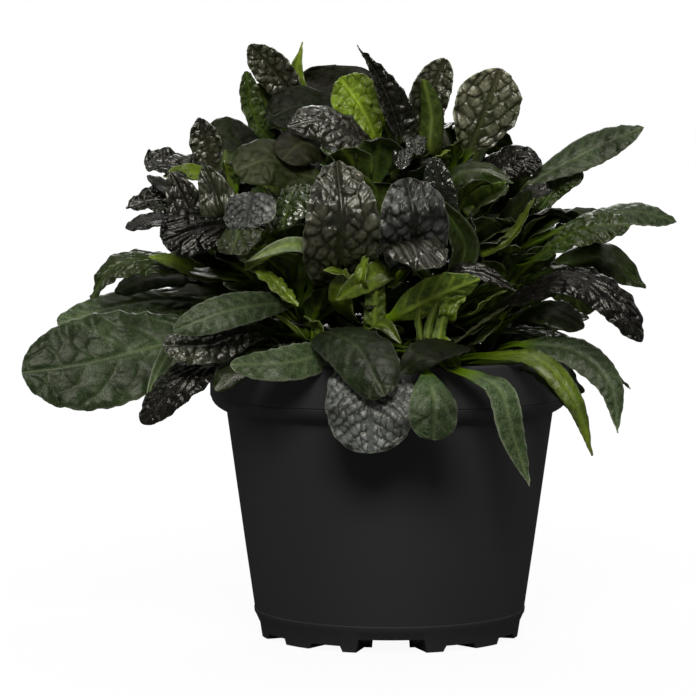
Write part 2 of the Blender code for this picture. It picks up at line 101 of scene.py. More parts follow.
# Leaves of the CAD model: name, shoot, height on the shoot, points of the
# midrib from the first bend to the tip, blade width, roll at the foot and at
# the tip, cupping of the blade, outline, finish, relief, shade, flush.
# Shade scales the leaf's colour, partly its own tone and partly painted light and shade
# for how lit or shaded the leaf stands; flush is how much pigment covers the green.
LEAVES = (
    ("leaf_01", "back_left", 240,
     ((-40.9, 30, 253.7), (-53.4, 25, 275.6), (-70.4, 19, 294.7)), 19, -110, -125, 0.15, "oval",
     "pewter", "coarse", 0.9, 0.9),
    ("leaf_02", "back_left", 214,
     ((-54, 40, 227.5), (-76, 44, 245.5), (-93, 45, 253.5)), 26, -40, -50, -0.1, "round",
     "dull", "veined", 1.1, 0.3),
    ("leaf_03", "left", 222,
     ((-88.4, 6, 230.5), (-91.3, 4, 243), (-95.6, 2, 258)), 16, -116, -116, 0.25, "lance",
     "pewter", "coarse", 0.8, 0.9),
    ("leaf_04", "left", 216,
     ((-90, -2, 228), (-104, -6, 234), (-122, -8, 237)), 24, -35, -40, 0.1, "round", "bronze",
     "puckered", 0.6, 0.9),
    ("leaf_05", "left", 204,
     ((-93.9, -30, 204.8), (-101, -34, 218.6), (-107.3, -34, 231.3)), 21, -142, -142, 0.1,
     "ovate", "pewter", "puckered", 0.7, 0.8),
    ("leaf_06", "left", 199,
     ((-97, 6, 211), (-116, 4, 217), (-132, 2, 213)), 20, -40, -40, 0.1, "lance", "bronze",
     "puckered", 0.65, 1),
    ("leaf_07", "left", 190,
     ((-92, -8, 203.5), (-114, -12, 207.5), (-131, -14, 203.5)), 17, -20, -30, 0.05, "oval",
     "purple", "smooth", 0.8, 1),
    ("leaf_08", "left_front", 200,
     ((-74, -34, 206), (-93, -44, 204), (-110, -50, 197)), 25, -55, -55, -0.1, "round",
     "purple", "ribbed", 0.42, 0.9),
    ("leaf_09", "left_front", 206,
     ((-61.2, -40, 216.3), (-66.7, -56, 220.9), (-70.3, -70, 205.4)), 27, 0, 0, -0.25, "round",
     "silver", "squared", 0.92, 0.8),
    ("leaf_10", "left_front", 190,
     ((-62, -48, 202), (-71, -66, 205), (-76, -80, 193)), 22, 0, 0, -0.2, "round", "green",
     "coarse", 1.1, 0.6),
    ("leaf_11", "front", 212,
     ((-32, -34, 220), (-46, -46, 224), (-52, -60, 204)), 23, 0, 0, -0.25, "round", "wet",
     "puckered", 1, 0),
    ("leaf_12", "front", 220,
     ((-43, -32, 230.3), (-59.4, -36, 237.1), (-75.8, -40, 231.3)), 27, -60, -60, -0.15,
     "round", "olive", "veined", 0.95, 0.3),
    ("leaf_13", "middle", 238,
     ((-20, 11, 252), (-42, 8, 264), (-62, 4, 257)), 25, -60, -60, -0.1, "oval", "dull",
     "veined", 0.8, 0.3),
    ("leaf_14", "middle", 216,
     ((-4.9, -20, 222.3), (-13.8, -24, 245.9), (-33.3, -28, 256.2), (-50.4, -30, 253.3)), 23,
     -60, -60, -0.3, "oval", "pewter", "coarse", 0.45, 1),
    ("leaf_15", "middle", 236,
     ((-6.5, 1, 247), (-13.5, 1, 262), (-24.5, 2, 278)), 27, -80, -90, 0.1, "oval", "bright",
     "puckered", 1.6, 0),
    ("leaf_16", "back_left", 246,
     ((-26.6, 30, 252.2), (-26.6, 34, 268.6), (-26.6, 35, 285.1)), 37, 63, 63, 0.05, "blunt",
     "dull", "smooth", 0.9, 1),
    ("leaf_17", "middle", 230,
     ((5.9, -12, 242), (1, -14, 261.8), (-7.4, -14, 280.1), (-16.3, -14, 293.5)), 15.5, -100,
     -120, 0.3, "hook", "bronze", "puckered", 0.6, 1),
    ("leaf_18", "back_right", 238,
     ((21.1, 6, 242), (17.5, 2, 261), (27.5, 0, 287)), 19.5, 186, 188, 0.25, "leafy", "pewter",
     "coarse", 0.9, 0.8),
    ("leaf_19", "back_right", 230,
     ((39.8, 14, 241.7), (47.7, 8, 261.3), (55.1, 4, 282.3)), 33.5, 140, 146, 0.1, "oval",
     "pewter", "coarse", 2.7, 0.9),
    ("leaf_20", "back_right", 214,
     ((43.3, 10, 228.9), (59.7, 4, 236.5), (76, 0, 234)), 20, 55, 60, -0.15, "oval", "purple",
     "ribbed", 0.45, 1),
    ("leaf_21", "right", 204,
     ((69.1, 2, 223.5), (96.6, 2, 240), (126.5, 0, 253.5)), 18, 50, 60, -0.1, "paddle", "sage",
     "veined", 0.75, 0.2),
    ("leaf_22", "right", 196,
     ((65.3, -14, 193.3), (91.2, -20, 205.8), (119.3, -20, 211.8), (141.2, -18, 206.8)), 18, 45,
     40, -0.2, "paddle", "sage", "veined", 0.8, 0.1),
    ("leaf_23", "right", 184,
     ((69.5, -30, 188.2), (92, -44, 203.8), (115.2, -50, 206.3)), 22, 45, 45, -0.15, "oval",
     "green", "coarse", 1.3, 0.1),
    ("leaf_24", "right", 176,
     ((84.6, -6, 184.3), (107.9, -14, 186.1), (126.5, -16, 173.8)), 25, 50, 55, -0.1, "blade",
     "green", "smooth", 0.9, 0.2),
    ("leaf_25", "right_front", 148,
     ((56.8, -40, 168.2), (85.1, -54, 181.4), (107, -62, 169.4), (119.8, -64, 150.4)), 22.5, 35,
     40, -0.2, "oval", "purple", "ribbed", 0.55, 1),
    ("leaf_26", "right", 146,
     ((62, -22, 159.6), (78.2, -32, 163.6), (94.5, -36, 155.5)), 20, 30, 30, -0.1, "oval",
     "green", "smooth", 0.7, 0.3),
    ("leaf_27", "right", 134,
     ((59.8, -28, 146), (87.9, -40, 144.9), (105.7, -48, 129.5), (109.8, -52, 105.3)), 17.5, 35,
     45, -0.15, "blade", "sage", "veined", 0.85, 0.1),
    ("leaf_28", "right_front", 134,
     ((45.9, -60, 143.4), (68, -78, 144.3), (84.9, -86, 125.7), (94.2, -88, 98.2)), 12, 25, 35,
     -0.2, "blade", "bright", "smooth", 0.75, 0),
    ("leaf_29", "right_front", 141,

     ((27.3, -84, 139.6), (40.5, -97, 136.4), (50.5, -102, 129.9), (56, -103, 109.6),
      (64, -101, 85.3)), 14, 0, 10, -0.15, "blade", "sage", "smooth", 1.35, 0),
    ("leaf_30", "front", 134,
     ((4.7, -72, 146.2), (14.4, -100, 141.8), (18.8, -118, 127.6), (18.3, -120, 109.1)), 24, 0,
     0, -0.2, "round", "sage", "veined", 0.95, 0),
    ("leaf_31", "front", 142,
     ((-6, -64, 150), (-10, -94, 143), (-11, -109, 126), (-10, -111, 102)), 42, 0, 0, -0.2,
     "round", "silver", "squared", 1.15, 0),
    ("leaf_32", "front", 150,
     ((-30, -70, 156.2), (-16, -104, 150.2), (-4, -118, 129.2)), 29, 10, 20, -0.25, "round",
     "sage", "veined", 0.4, 0.2),
    ("leaf_33", "left_front", 134,
     ((-28.6, -66, 145.3), (-50.4, -94, 142.7), (-76.1, -92, 141.6)), 18.5, -45, -50, -0.15,
     "leafy", "sage", "veined", 0.95, 0),
    ("leaf_34", "left_front", 160,
     ((-48, -56, 168.6), (-74.4, -82, 167.2), (-102.9, -90, 157.4)), 18, -55, -60, -0.1, "oval",
     "sage", "veined", 0.62, 0),
    ("leaf_35", "left", 148,
     ((-78.1, -8, 154.5), (-115.8, -26, 145.8), (-149.8, -38, 137.9), (-179.2, -44, 134)), 48.5,
     -60, -68, -0.1, "leafy", "sage", "broad", 0.8, 0),
    ("leaf_36", "left_front", 150,
     ((-67.1, -58, 155.8), (-87.6, -74, 150.2), (-108.4, -80, 149.6)), 22, -45, -50, -0.1,
     "round", "pewter", "quilted", 0.62, 0.7),
    ("leaf_37", "left_front", 141,
     ((-67.4, -52, 149.1), (-87.2, -66, 140.6), (-103.5, -71, 130), (-119.5, -72, 112.1)), 21.5,
     -30, -40, -0.2, "leafy", "purple", "ribbed", 0.9, 0.8),
    ("leaf_38", "left", 178,
     ((-93.1, -6, 182.3), (-119, -12, 188), (-137.9, -16, 183.7), (-148.1, -18, 167.5)), 23,
     -25, -30, -0.2, "blade", "green", "ribbed", 1, 0.2),
    ("leaf_39", "left_front", 178,
     ((-48, -44, 189), (-58, -58, 191), (-70, -66, 185)), 11, -20, -20, 0.2, "lance", "bright",
     "smooth", 0.8, 0),
    ("leaf_40", "front", 176,
     ((-23.6, -54, 185.3), (-23.7, -72, 211.2), (-26.3, -60, 236.3)), 37, -154, -154, 0.12,
     "ovate", "pewter", "coarse", 0.82, 0.95),
    ("leaf_41", "right_front", 184,
     ((11.5, -56, 191.1), (10.4, -72, 211.2), (6.7, -62, 228.1)), 33, -158, -158, 0.15, "oval",
     "silver", "coarse", 0.6, 0.9),
    ("leaf_42", "front", 182,
     ((-2, -50, 193), (10, -74, 198), (22, -88, 187)), 28, 0, 10, -0.2, "oval", "pewter",
     "ribbed", 0.5, 1),
    ("leaf_43", "right_front", 176,
     ((29.9, -50, 181.3), (35.1, -54, 197.3), (21.6, -56, 219)), 13, 183, 183, 0.25, "lance",
     "green", "smooth", 0.8, 0.3),
    ("leaf_44", "front", 160,
     ((-2.9, -50, 159.1), (19.1, -60, 171.2), (41.9, -66, 180.6)), 21, -35, -45, 0.1, "lance",
     "bright", "veined", 1.75, 0),
    ("leaf_45", "back_left", 196,
     ((-46, 70, 206), (-58, 104, 202), (-66, 132, 182)), 30, 0, 0, -0.15, "oval",
     "green", "veined", 1.0, 0.2),
    ("leaf_46", "back_right", 200,
     ((44, 72, 208), (56, 106, 204), (66, 132, 186)), 30, 0, 0, -0.15, "oval",
     "bronze", "quilted", 1.0, 0.9),
    ("leaf_47", "middle", 206,
     ((0, 52, 228), (0, 86, 236), (2, 116, 222)), 28, 0, 0, -0.15, "oval",
     "bronze", "quilted", 1.0, 0.8),
    ("leaf_48", "right_back", 158,
     ((84, 66, 168), (98, 80, 166), (104, 90, 154)), 28, 0, 0, -0.15, "oval", "sage", "veined",
     1, 0.1),
    ("leaf_49", "left", 160,
     ((-84, 46, 170), (-108, 72, 162), (-122, 86, 140)), 30, 0, 0, -0.15, "round",
     "green", "veined", 1.0, 0.1),
)

# Lesser leaves between the large ones, in the same order of columns.
LESSER = (
    ("spike", "back_left", 243,
     ((-43.9, 30, 261.9), (-47.5, 30, 278.8), (-43.9, 29, 296.6)), 11, -90, -100, 0.2, "hook",
     "bright", "smooth", 1.5, 0),
    ("crown_green", "back_left", 232,
     ((-60, 24, 247.1), (-68.9, 18, 261.2), (-72.3, 16, 281.4)), 12, -70, -90, 0.2, "oval",
     "green", "puckered", 1.6, 0),
    ("left_edge_on", "left", 214,
     ((-92, -8, 229), (-103, -13, 231), (-112, -16, 229)), 9, -60, -60, 0.1, "lance", "bright",
     "smooth", 1.1, 0),
    ("left_olive", "left", 206,
     ((-81, -34, 208.8), (-85.6, -38, 221.6), (-91, -38, 234.2)), 20, -160, -160, 0.1, "ovate",
     "pewter", "ribbed", 1, 0.6),
    ("middle_dark", "middle", 232,
     ((6.4, -26, 242), (5.8, -36, 241.5), (4.8, -44, 232.8)), 10, 0, 0, -0.2, "round", "gloss",
     "puckered", 1.2, 1),
    ("right_round", "right", 198,
     ((80.5, 8, 219.4), (86.4, 7, 225.4), (96.9, 6, 230.4)), 12, 50, 60, 0.1, "round", "green",
     "puckered", 1.3, 0),
    ("right_fold", "right_front", 198,
     ((40, -20, 210), (48, -26, 218), (56, -30, 226)), 17, 20, 30, 0.45, "oval", "green",
     "smooth", 1.2, 0),
    ("right_dark", "right", 203,
     ((64, -14, 214), (71, -14, 221), (80, -14, 222)), 13, 30, 40, 0.10, "lance",
     "purple", "ribbed", 0.9, 1.0),
    ("right_deep", "right", 166,
     ((66, -10, 176), (84, -14, 182), (100, -16, 176)), 16, 30, 35, -0.1, "lance", "green",
     "smooth", 0.75, 0.3),
    ("right_tip", "right", 138,
     ((84.5, -8, 145.1), (104.1, -12, 136.9), (119.6, -16, 123.9)), 7, 20, 25, -0.1, "lance",
     "green", "veined", 0.8, 0.2),
    ("left_lobe", "left", 154,
     ((-98, 14, 165.2), (-130.6, 6, 165.2), (-166, -4, 155.3)), 22, -40, -45, -0.15, "round",
     "sage", "veined", 1, 0),
    ("left_low", "left_front", 136,
     ((-60, -58, 145), (-74, -72, 139), (-84, -78, 128)), 17, -20, -30, -0.15, "oval", "green",
     "smooth", 0.5, 0.1),
    ("left_sprig", "left", 176,
     ((-89.5, -8, 179.9), (-105.5, -20, 186.8), (-118.9, -24, 189.9)), 12, -40, -50, 0.1,
     "lance", "bright", "smooth", 0.95, 0),
    ("left_shadow", "left", 164,
     ((-94, 6, 177), (-118, 2, 179), (-138, 0, 171)), 17, -40, -45, -0.10, "oval",
     "green", "smooth", 0.8, 0.2),
    ("front_gloss", "right_front", 190,
     ((28.1, -42, 197.4), (23.6, -50, 219.3), (20.2, -52, 238.6)), 16, 187, 187, 0.1, "oval",
     "gloss", "coarse", 1.2, 0.9),
    ("front_pucker", "left_front", 170,
     ((-68.6, -48, 187.9), (-57.3, -62, 180.4), (-44.7, -68, 167.8)), 11.5, -30, -30, -0.15,
     "oval", "bright", "puckered", 1.05, 0),
    ("front_wedge", "front", 150,
     ((-20, -44, 162), (-24, -52, 172), (-22, -56, 185)), 15, 150, 170, 0.2, "lance", "bright",
     "smooth", 0.8, 0),
    ("crown_blade", "back_right", 238,
     ((20.4, -6, 240.5), (20.4, -8, 258.9), (16.4, -8, 276.8)), 12, 20, 20, 0.3, "ovate",
     "bright", "smooth", 0.7, 0),
    ("behind_left", "left", 205,
     ((-83.8, 22, 214.1), (-83.5, 26, 225.7), (-83.6, 28, 242)), 26, 150, 150, -0.1, "round",
     "green", "smooth", 0.6, 0.5),
    ("behind_silver", "back_left", 204,
     ((-53.6, 28, 203.7), (-60.1, 26, 214), (-65.1, 24, 230.8)), 30, 80, 80, -0.1, "round",
     "green", "veined", 0.6, 0.5),
    ("behind_crown", "back_left", 236,
     ((-53.9, 36, 252.3), (-61.5, 36, 263.5), (-67.1, 34, 275.8)), 17, 97, 97, 0.1, "oval",
     "green", "smooth", 0.6, 0.5),
    ("behind_stalks", "middle", 146,
     ((5.1, 18, 146.8), (11.2, 20, 154.8), (12.2, 22, 165.8)), 26, -140, -140, -0.1, "round",
     "green", "smooth", 0.5, 0.4),
    ("behind_middle", "middle", 236,
     ((6.1, 24, 244), (11.2, 26, 251.2), (13.2, 26, 261.4)), 17, -146, -146, 0.1, "oval",
     "green", "smooth", 0.6, 0.6),
    ("behind_low", "right", 152,
     ((63, 12, 153.2), (79.8, 14, 157.2), (101, 14, 157.2)), 22, 30, 30, 0, "lance", "green",
     "smooth", 0.55, 0.4),
    ("behind_right", "right", 172,
     ((65.6, 12, 176.4), (80.8, 14, 180.9), (98, 14, 182.4)), 15, 30, 30, 0, "lance", "green",
     "smooth", 0.6, 0.4),
    ("behind_fold", "right", 196,
     ((70.7, 14, 205.6), (74.8, 16, 213.7), (76.9, 16, 221.8)), 15, -147, -147, 0, "oval",
     "green", "smooth", 0.6, 0.5),
    ("behind_round", "right", 200,
     ((83.6, 10, 207.8), (94.7, 10, 209.8), (107.6, 8, 210.8)), 9, 40, 40, 0.1, "lance",
     "green", "smooth", 0.8, 0.3),
    ("behind_dark", "right_back", 190,
     ((56.4, 34, 201.7), (63, 34, 214.5), (70.6, 32, 229.9)), 28, 31, 31, -0.1, "round",
     "purple", "ribbed", 0.8, 0.9),
    ("behind_front", "front", 166,
     ((-19.1, 8, 160.5), (-19.6, 10, 171.5), (-20.1, 10, 185.6)), 30, 159, 159, 0, "oval",
     "green", "smooth", 0.5, 0.5),
    ("left_strip", "left_front", 142,
     ((-98.3, -58, 148.6), (-109, -61, 141.6), (-118, -62, 121.6)), 8, -60, -70, 0, "lance",
     "sage", "smooth", 1.1, 0),
    ("front_crescent", "front", 172,
     ((-36.4, -58, 193.1), (-50.4, -68, 196.8), (-69.7, -72, 188.9)), 8, -60, -75, 0.1, "blade",
     "pale", "smooth", 1, 0),
    ("right_sprig", "right_front", 206,
     ((45.2, -24, 211.5), (50.1, -25, 216.5), (57.4, -26, 222.9)), 8, 20, 30, 0.2, "spear",
     "bright", "smooth", 1.3, 0),
    ("middle_sprig", "middle", 232,
     ((17.4, -10, 231.1), (22.8, -12, 236.1), (29.2, -14, 242)), 12, 10, 20, 0.2, "oval",
     "bright", "puckered", 1, 0),
    ("middle_green", "middle", 230,
     ((2.5, -14, 226.2), (-1, -16, 233.1), (-3, -18, 242)), 13, -10, -20, 0.2, "oval", "bright",
     "puckered", 0.7, 0),
    ("behind_centre", "middle", 160,
     ((-22.9, 26, 169.7), (-22.9, 28, 183.3), (-22.9, 28, 198.6)), 36, 132, 132, 0, "round",
     "green", "smooth", 0.6, 0.4),
    ("behind_gloss", "middle", 205,
     ((17.8, 22, 206.4), (17.8, 24, 219.1), (18.3, 26, 233.9)), 28, -137, -137, 0, "round",
     "green", "smooth", 0.6, 0.4),
    ("behind_pucker", "middle", 196,
     ((-36.6, 24, 205.4), (-43.3, 26, 216.5), (-46.9, 28, 231.8)), 28, 114, 114, 0, "round",
     "green", "smooth", 0.6, 0.4),
    ("behind_fold_low", "front", 160,
     ((7.6, 16, 165.1), (8.1, 18, 175.1), (9.1, 18, 188.8)), 28, -157, -157, 0, "round",
     "green", "smooth", 0.6, 0.4),
    ("behind_stalk_right", "right", 158,
     ((40.5, 16, 170.2), (50.6, 18, 179.2), (59.8, 18, 188.3)), 24, -160, -160, 0, "round",
     "green", "smooth", 0.6, 0.4),
    ("behind_sprig", "left", 170,
     ((-63.5, -12, 171.6), (-80.1, -16, 179.2), (-101.8, -16, 182.7)), 13, -20, -20, 0, "oval",
     "bright", "smooth", 0.6, 0.2),
    ("left_under", "left", 168,
     ((-77.4, -2, 169.1), (-92.4, -2, 173.1), (-114.7, -4, 171.2)), 14, -30, -30, 0, "lance",
     "bright", "smooth", 0.3, 0.2),
    ("middle_gloss", "middle", 232,
     ((9.9, -16, 246.4), (11.8, -24, 247.9), (12.7, -32, 239.6)), 12, 0, 0, -0.2, "round",
     "gloss", "puckered", 1.3, 0.8),
    ("front_edge", "right_front", 178,
     ((43.7, -40, 181.8), (41.6, -44, 196), (38.2, -46, 211.5)), 9, 80, 80, 0.3, "lance",
     "bronze", "puckered", 0.9, 0.9),
    ("right_pair", "right_front", 204,
     ((44.2, -24, 209.1), (39.3, -26, 215), (34.8, -26, 222.4)), 10, -20, -30, 0.3, "oval",
     "bright", "smooth", 0.8, 0.1),
    ("right_broad", "right_front", 204,
     ((30.6, -16, 226.7), (45.4, -18, 231.1), (60.6, -20, 225.7)), 13, 60, 60, -0.1, "blade",
     "green", "smooth", 0.8, 0.1),
    ("right_streak", "right_front", 184,
     ((47.3, -34, 192.2), (60, -34, 201), (69.9, -32, 218.6)), 7, 40, 50, 0.3, "lance",
     "bright", "smooth", 0.6, 0.1),
    ("right_shade", "right_front", 194,
     ((52.8, -18, 198.6), (59.5, -22, 209.5), (69.3, -24, 222.3)), 17, 40, 40, 0, "oval",
     "dull", "smooth", 0.9, 0.2),
    ("front_brown", "front", 218,
     ((-32, -22, 241), (-43.1, -30, 245.4), (-53, -38, 237.1)), 23, -40, -50, -0.2, "round",
     "olive", "smooth", 0.55, 0.9),
    ("stalk_broad", "front", 148,
     ((-8.2, -50, 154.3), (-7.7, -54, 169.9), (-6.7, -56, 185.4)), 10.5, 0, 5, 0.1, "strip",
     "bright", "puckered", 0.85, 0),
    ("stalk_wedge", "front", 168,
     ((-1, -52, 184.2), (-13.4, -58, 179.2), (-26.8, -62, 170.3)), 13, -50, -60, 0.1, "lance",
     "bright", "smooth", 0.75, 0.1),
    ("stalk_olive", "front", 146,
     ((12.5, -54, 147.8), (13, -56, 160.4), (14.4, -56, 173.4)), 4.5, 0, 10, 0.2, "strip",
     "bright", "smooth", 0.95, 0.4),
    ("stalk_thin", "right_front", 146,
     ((17.3, -56, 147.5), (18.2, -58, 158.2), (22.5, -58, 170.6)), 4.5, 0, 10, 0.2, "strip",
     "bright", "smooth", 0.8, 0.2),
    ("stalk_lit", "right_front", 144,
     ((21.6, -58, 146.2), (23.9, -60, 158.3), (26.8, -60, 170.2)), 6.5, 0, 10, 0.2, "strip",
     "bright", "smooth", 1.05, 0),
    ("stalk_curl", "right_front", 158,
     ((25.9, -58, 161.5), (28.7, -60, 167.8), (35.4, -60, 171.7)), 9, 160, 170, 0.2, "oval",
     "bright", "puckered", 1.1, 0),
    ("stalk_brown", "right_front", 148,
     ((28.5, -48, 147.9), (43, -46, 157.9), (59.2, -42, 168.3)), 3.6, 30, 30, 0.2, "strip",
     "olive", "smooth", 1.3, 0.8),
    ("stalk_drop", "right_front", 146,
     ((21, -62, 150.3), (26.2, -68, 146.9), (32.7, -72, 135.8)), 10, 20, 30, 0.1, "lance",
     "bright", "smooth", 1.2, 0.1),
    ("stalk_shine", "front", 148,
     ((-31.2, -54, 149.3), (-35.5, -58, 158.2), (-42.1, -60, 162.1)), 10, 160, 170, 0.1, "oval",
     "bright", "puckered", 0.8, 0),
    ("stalk_hook", "front", 146,
     ((-9.6, -60, 156.8), (-2.9, -66, 158.2), (4.3, -70, 149.9)), 8, 30, 40, 0.1, "lance",
     "bright", "smooth", 0.8, 0.1),
    ("stalk_slant", "left_front", 146,
     ((-42.4, -52, 151.5), (-51.4, -54, 159.8), (-61.5, -54, 167)), 5, -20, -20, 0.2, "strip",
     "bright", "smooth", 1, 0),
    ("front_bronze", "right_front", 176,
     ((27.9, -54, 182.9), (43.1, -60, 183.2), (59.7, -62, 174.6)), 10, 60, 60, -0.1, "blade",
     "purple", "ribbed", 1, 0.9),
    ("right_lime", "right_front", 158,
     ((39.2, -46, 162.7), (46.3, -50, 169.7), (55.4, -52, 174.6)), 7, 20, 20, 0.2, "lance",
     "bright", "smooth", 1.2, 0),
    ("front_bud", "front", 172,
     ((-14.4, -58, 177.8), (-13.9, -60, 185.1), (-11.5, -60, 191.8)), 7, 150, 160, 0.2, "oval",
     "bright", "puckered", 1.1, 0),
    ("front_under", "front", 170,
     ((-18.3, -54, 178.6), (-24.9, -58, 183.5), (-32.5, -60, 184.6)), 9, -50, -50, 0.1, "lance",
     "bright", "smooth", 0.8, 0.1),
    ("front_dark", "right_front", 144,
     ((31.3, -72, 150), (16.6, -106, 149.6), (2.8, -112, 139)), 18, -20, -20, -0.1, "oval",
     "dull", "smooth", 0.9, 0.4),
    ("right_second", "right_front", 136,
     ((62.2, -60, 140.6), (74.9, -72, 134.4), (86.4, -78, 117.4)), 12, 30, 30, -0.1, "lance",
     "green", "smooth", 0.8, 0.1),
    ("behind_gap", "front", 190,
     ((-44.3, 8, 208.8), (-47.8, 10, 219.3), (-50.9, 12, 230.9)), 17, 129, 129, 0, "round",
     "green", "smooth", 0.6, 0.4),
    ("behind_shoulder", "left", 196,
     ((-91.4, 6, 208.9), (-106.6, 8, 219.4), (-121.7, 8, 229.4)), 13, -40, -40, 0, "oval",
     "bronze", "smooth", 0.6, 0.8),
    ("behind_notch", "left", 176,
     ((-70.5, 10, 175.5), (-88.6, 10, 179.6), (-107.8, 10, 182.6)), 24, -75, -75, 0, "lance",
     "dull", "smooth", 0.9, 0.2),
    ("behind_base", "middle", 140,
     ((-43.1, 20, 141.6), (-64.9, 20, 154.8), (-76, 18, 178.2)), 36, 150, 150, 0, "round",
     "green", "smooth", 0.5, 0.4),
    ("behind_root", "middle", 140,
     ((-40.3, 10, 141.3), (-44.3, 10, 151.4), (-47.4, 12, 163.3)), 20, 165, 165, 0, "round",
     "green", "smooth", 0.5, 0.4),
)

# Finishes of the upper face: a label that the script does not use, names of the pigment,
# green and vein colours, roughness, coat, specular level, then how much shows of the hairs,
# the pale margin, the painted shade in the folds, the veins and the painted sheen on the
# crests, and how the shade drifts, partly the leaf's own tone and partly painted sheen.
FINISHES = {
    "bronze": ("leaf_bronze", "bronze", "dark_green", "olive",
               0.29, 0.0, 0.60, 0.05, 0.05, 0.90, 0.30, 0.40, 0.28),
    "pewter": ("leaf_bronze", "pewter", "mid_green", "olive",
               0.34, 0.0, 1.0, 0.05, 0.25, 0.60, 0.45, 0.60, 0.50),
    "olive": ("leaf_bronze", "warm_olive", "mid_green", "pale_olive",
              0.42, 0.0, 0.16, 0.05, 0.05, 0.60, 0.45, 0.45, 0.28),
    "purple": ("leaf_purple", "purple", "dark_green", "mauve_grey",
               0.26, 0.0, 0.36, 0.05, 0.05, 0.90, 0.30, 0.20, 0.28),
    "gloss": ("leaf_bronze", "blue_black", "dark_green", "olive",
              0.20, 0.30, 0.7, 0.05, 0.05, 0.40, 0.45, 0.15, 0.28),
    "green": ("leaf_green", "bronze", "mid_green", "light_green",
              0.32, 0.0, 0.36, 0.08, 0.05, 0.60, 0.45, 0.25, 0.28),
    "dull": ("leaf_green", "bronze", "dark_green", "mid_green",
             0.45, 0.0, 0.12, 0.05, 0.05, 0.60, 0.45, 0.15, 0.28),
    "wet": ("leaf_green", "dark_green", "mid_green", "light_green",
            0.16, 0.35, 0.7, 0.05, 0.05, 0.90, 0.45, 0.15, 0.28),
    "sage": ("leaf_sage", "dark_green", "sage_green", "pale_sage",
             0.42, 0.0, 0.28, 0.30, 0.60, 0.35, 0.42, 0.15, 0.50),
    "pale": ("leaf_sage", "sage_green", "pale_sage", "lime",
             0.45, 0.0, 0.25, 0.05, 0.60, 0.60, 0.45, 0.15, 0.28),
    "silver": ("leaf_silver", "blue_black", "silver_grey", "deep_grey",
               0.40, 0.0, 0.70, 0.20, 0.45, 1.0, 0.35, 0.70, 0.50),
    "bright": ("leaf_bright", "mid_green", "leaf_yellow", "lime",
               0.32, 0.0, 0.40, 0.08, 0.15, 0.60, 0.50, 0.15, 0.28),
}
LIT_STALKS = ("bright", "sage", "pale", "wet")
DARK_BACKS = ("bronze", "purple", "gloss", "silver", "pewter", "dull")

# Relief: gap between side veins, width of a cell, sweep and bend of the side
# veins, height of the domes, depth of the side veins, unevenness, fine
# puckers, wave of the margin, tooth of the margin, half width of a side vein
# and pitch of the grid (millimetres).
RELIEFS = {
    "coarse": (6.4, 4.6, 0.85, 0.028, 0.92, 0.80, 0.80, 0.50, 1.0, 0.20, 0.55, 0.65),
    "quilted": (6.0, 4.4, 0.80, 0.034, 1.35, 0.60, 0.55, 0.40, 1.2, 0.22, 0.55, 0.66),
    "squared": (3.8, 3.0, 0.45, 0.018, 0.46, 0.80, 0.80, 0.26, 0.9, 0.20, 0.55, 0.52),
    "puckered": (6.0, 4.5, 0.80, 0.030, 1.45, 0.55, 0.75, 0.45, 1.1, 0.22, 0.55, 0.68),
    "ribbed": (8.6, 9.5, 3.20, 0.012, 0.95, 0.60, 0.45, 0.30, 1.0, 0.22, 0.55, 0.80),
    "veined": (7.6, 5.8, 0.85, 0.026, 0.65, 0.40, 0.60, 0.24, 0.5, 0.14, 0.75, 1.10),
    "broad": (12.5, 8.0, 0.80, 0.012, 0.65, 0.60, 0.60, 0.30, 1.0, 0.20, 0.75, 0.95),
    "smooth": (8.5, 8.0, 0.80, 0.024, 0.30, 0.25, 0.45, 0.08, 0.6, 0.10, 0.55, 1.6),
}

# Outlines: how fast a blade widens from its foot and narrows to its tip.
OUTLINES = {
    "spear": (0.42, 1.15),
    "blade": (0.80, 1.05),
    "ovate": (0.52, 0.58),
    "leafy": (0.72, 0.52),
    "paddle": (1.30, 0.80),
    "hook": (0.60, 1.50),
    "blunt": (0.85, 0.30),
    "strip": (0.12, 0.22),
    "round": (0.85, 0.42),
    "oval": (0.95, 0.62),
    "lance": (0.85, 0.80),
}


def paint(red, green, blue):
    """Linear colour of a display colour given from 0 to 255."""
    found = []
    for value in (red, green, blue):
        share = value / 255.0
        found.append(share / 12.92 if share <= 0.04045 else ((share + 0.055) / 1.055) ** 2.4)
    return tuple(found)


# ---------------------------------------------------------------------------
# Settings


def length(label, text, value, low=0.0, high=10.0):
    return FloatProperty(name=label, description=text, default=value, min=low, max=high,
                         unit="LENGTH", precision=4)


def share_of_one(label, text, value, high=1.0):
    return FloatProperty(name=label, description=text, default=value, min=0.0, max=high,
                         subtype="FACTOR")


def colour(label, text, value):
    return FloatVectorProperty(name=label, description=text, default=value, size=3, min=0.0,
                               max=1.0, subtype="COLOR")


class BugleweedPotSettings(bpy.types.PropertyGroup):
    lip_radius: length("Lip radius", "Outer radius of the rolled lip", 0.090)
    lip_top: length("Lip top", "Height of the lip above the ground", 0.140)
    wall: length("Wall", "Thickness of the moulded wall", 0.0018)
    round_over: length("Round-over", "Radius of the rounded edges", 0.0008)
    steps: IntProperty(name="Steps", description="Segments round the pot", default=240,
                       min=48, max=480)
    plastic: colour("Plastic", "Colour of the black plastic", (0.0092, 0.0092, 0.0098))
    dust: colour("Dust", "Colour of dust and scuffs on the plastic", (0.060, 0.058, 0.054))


class BugleweedSoilSettings(bpy.types.PropertyGroup):
    level: length("Level", "Height of the potting mix in the middle", 0.126)
    lumps: length("Lumps", "Height of the lumps in the surface", 0.0016)
    crumbs: IntProperty(name="Crumbs", description="Loose crumbs on the surface",
                        default=420, min=0, max=2000)
    mix: colour("Mix", "Colour of the damp potting mix", (0.020, 0.013, 0.008))
    bark: colour("Bark", "Colour of bark and dry fibres", (0.085, 0.050, 0.026))


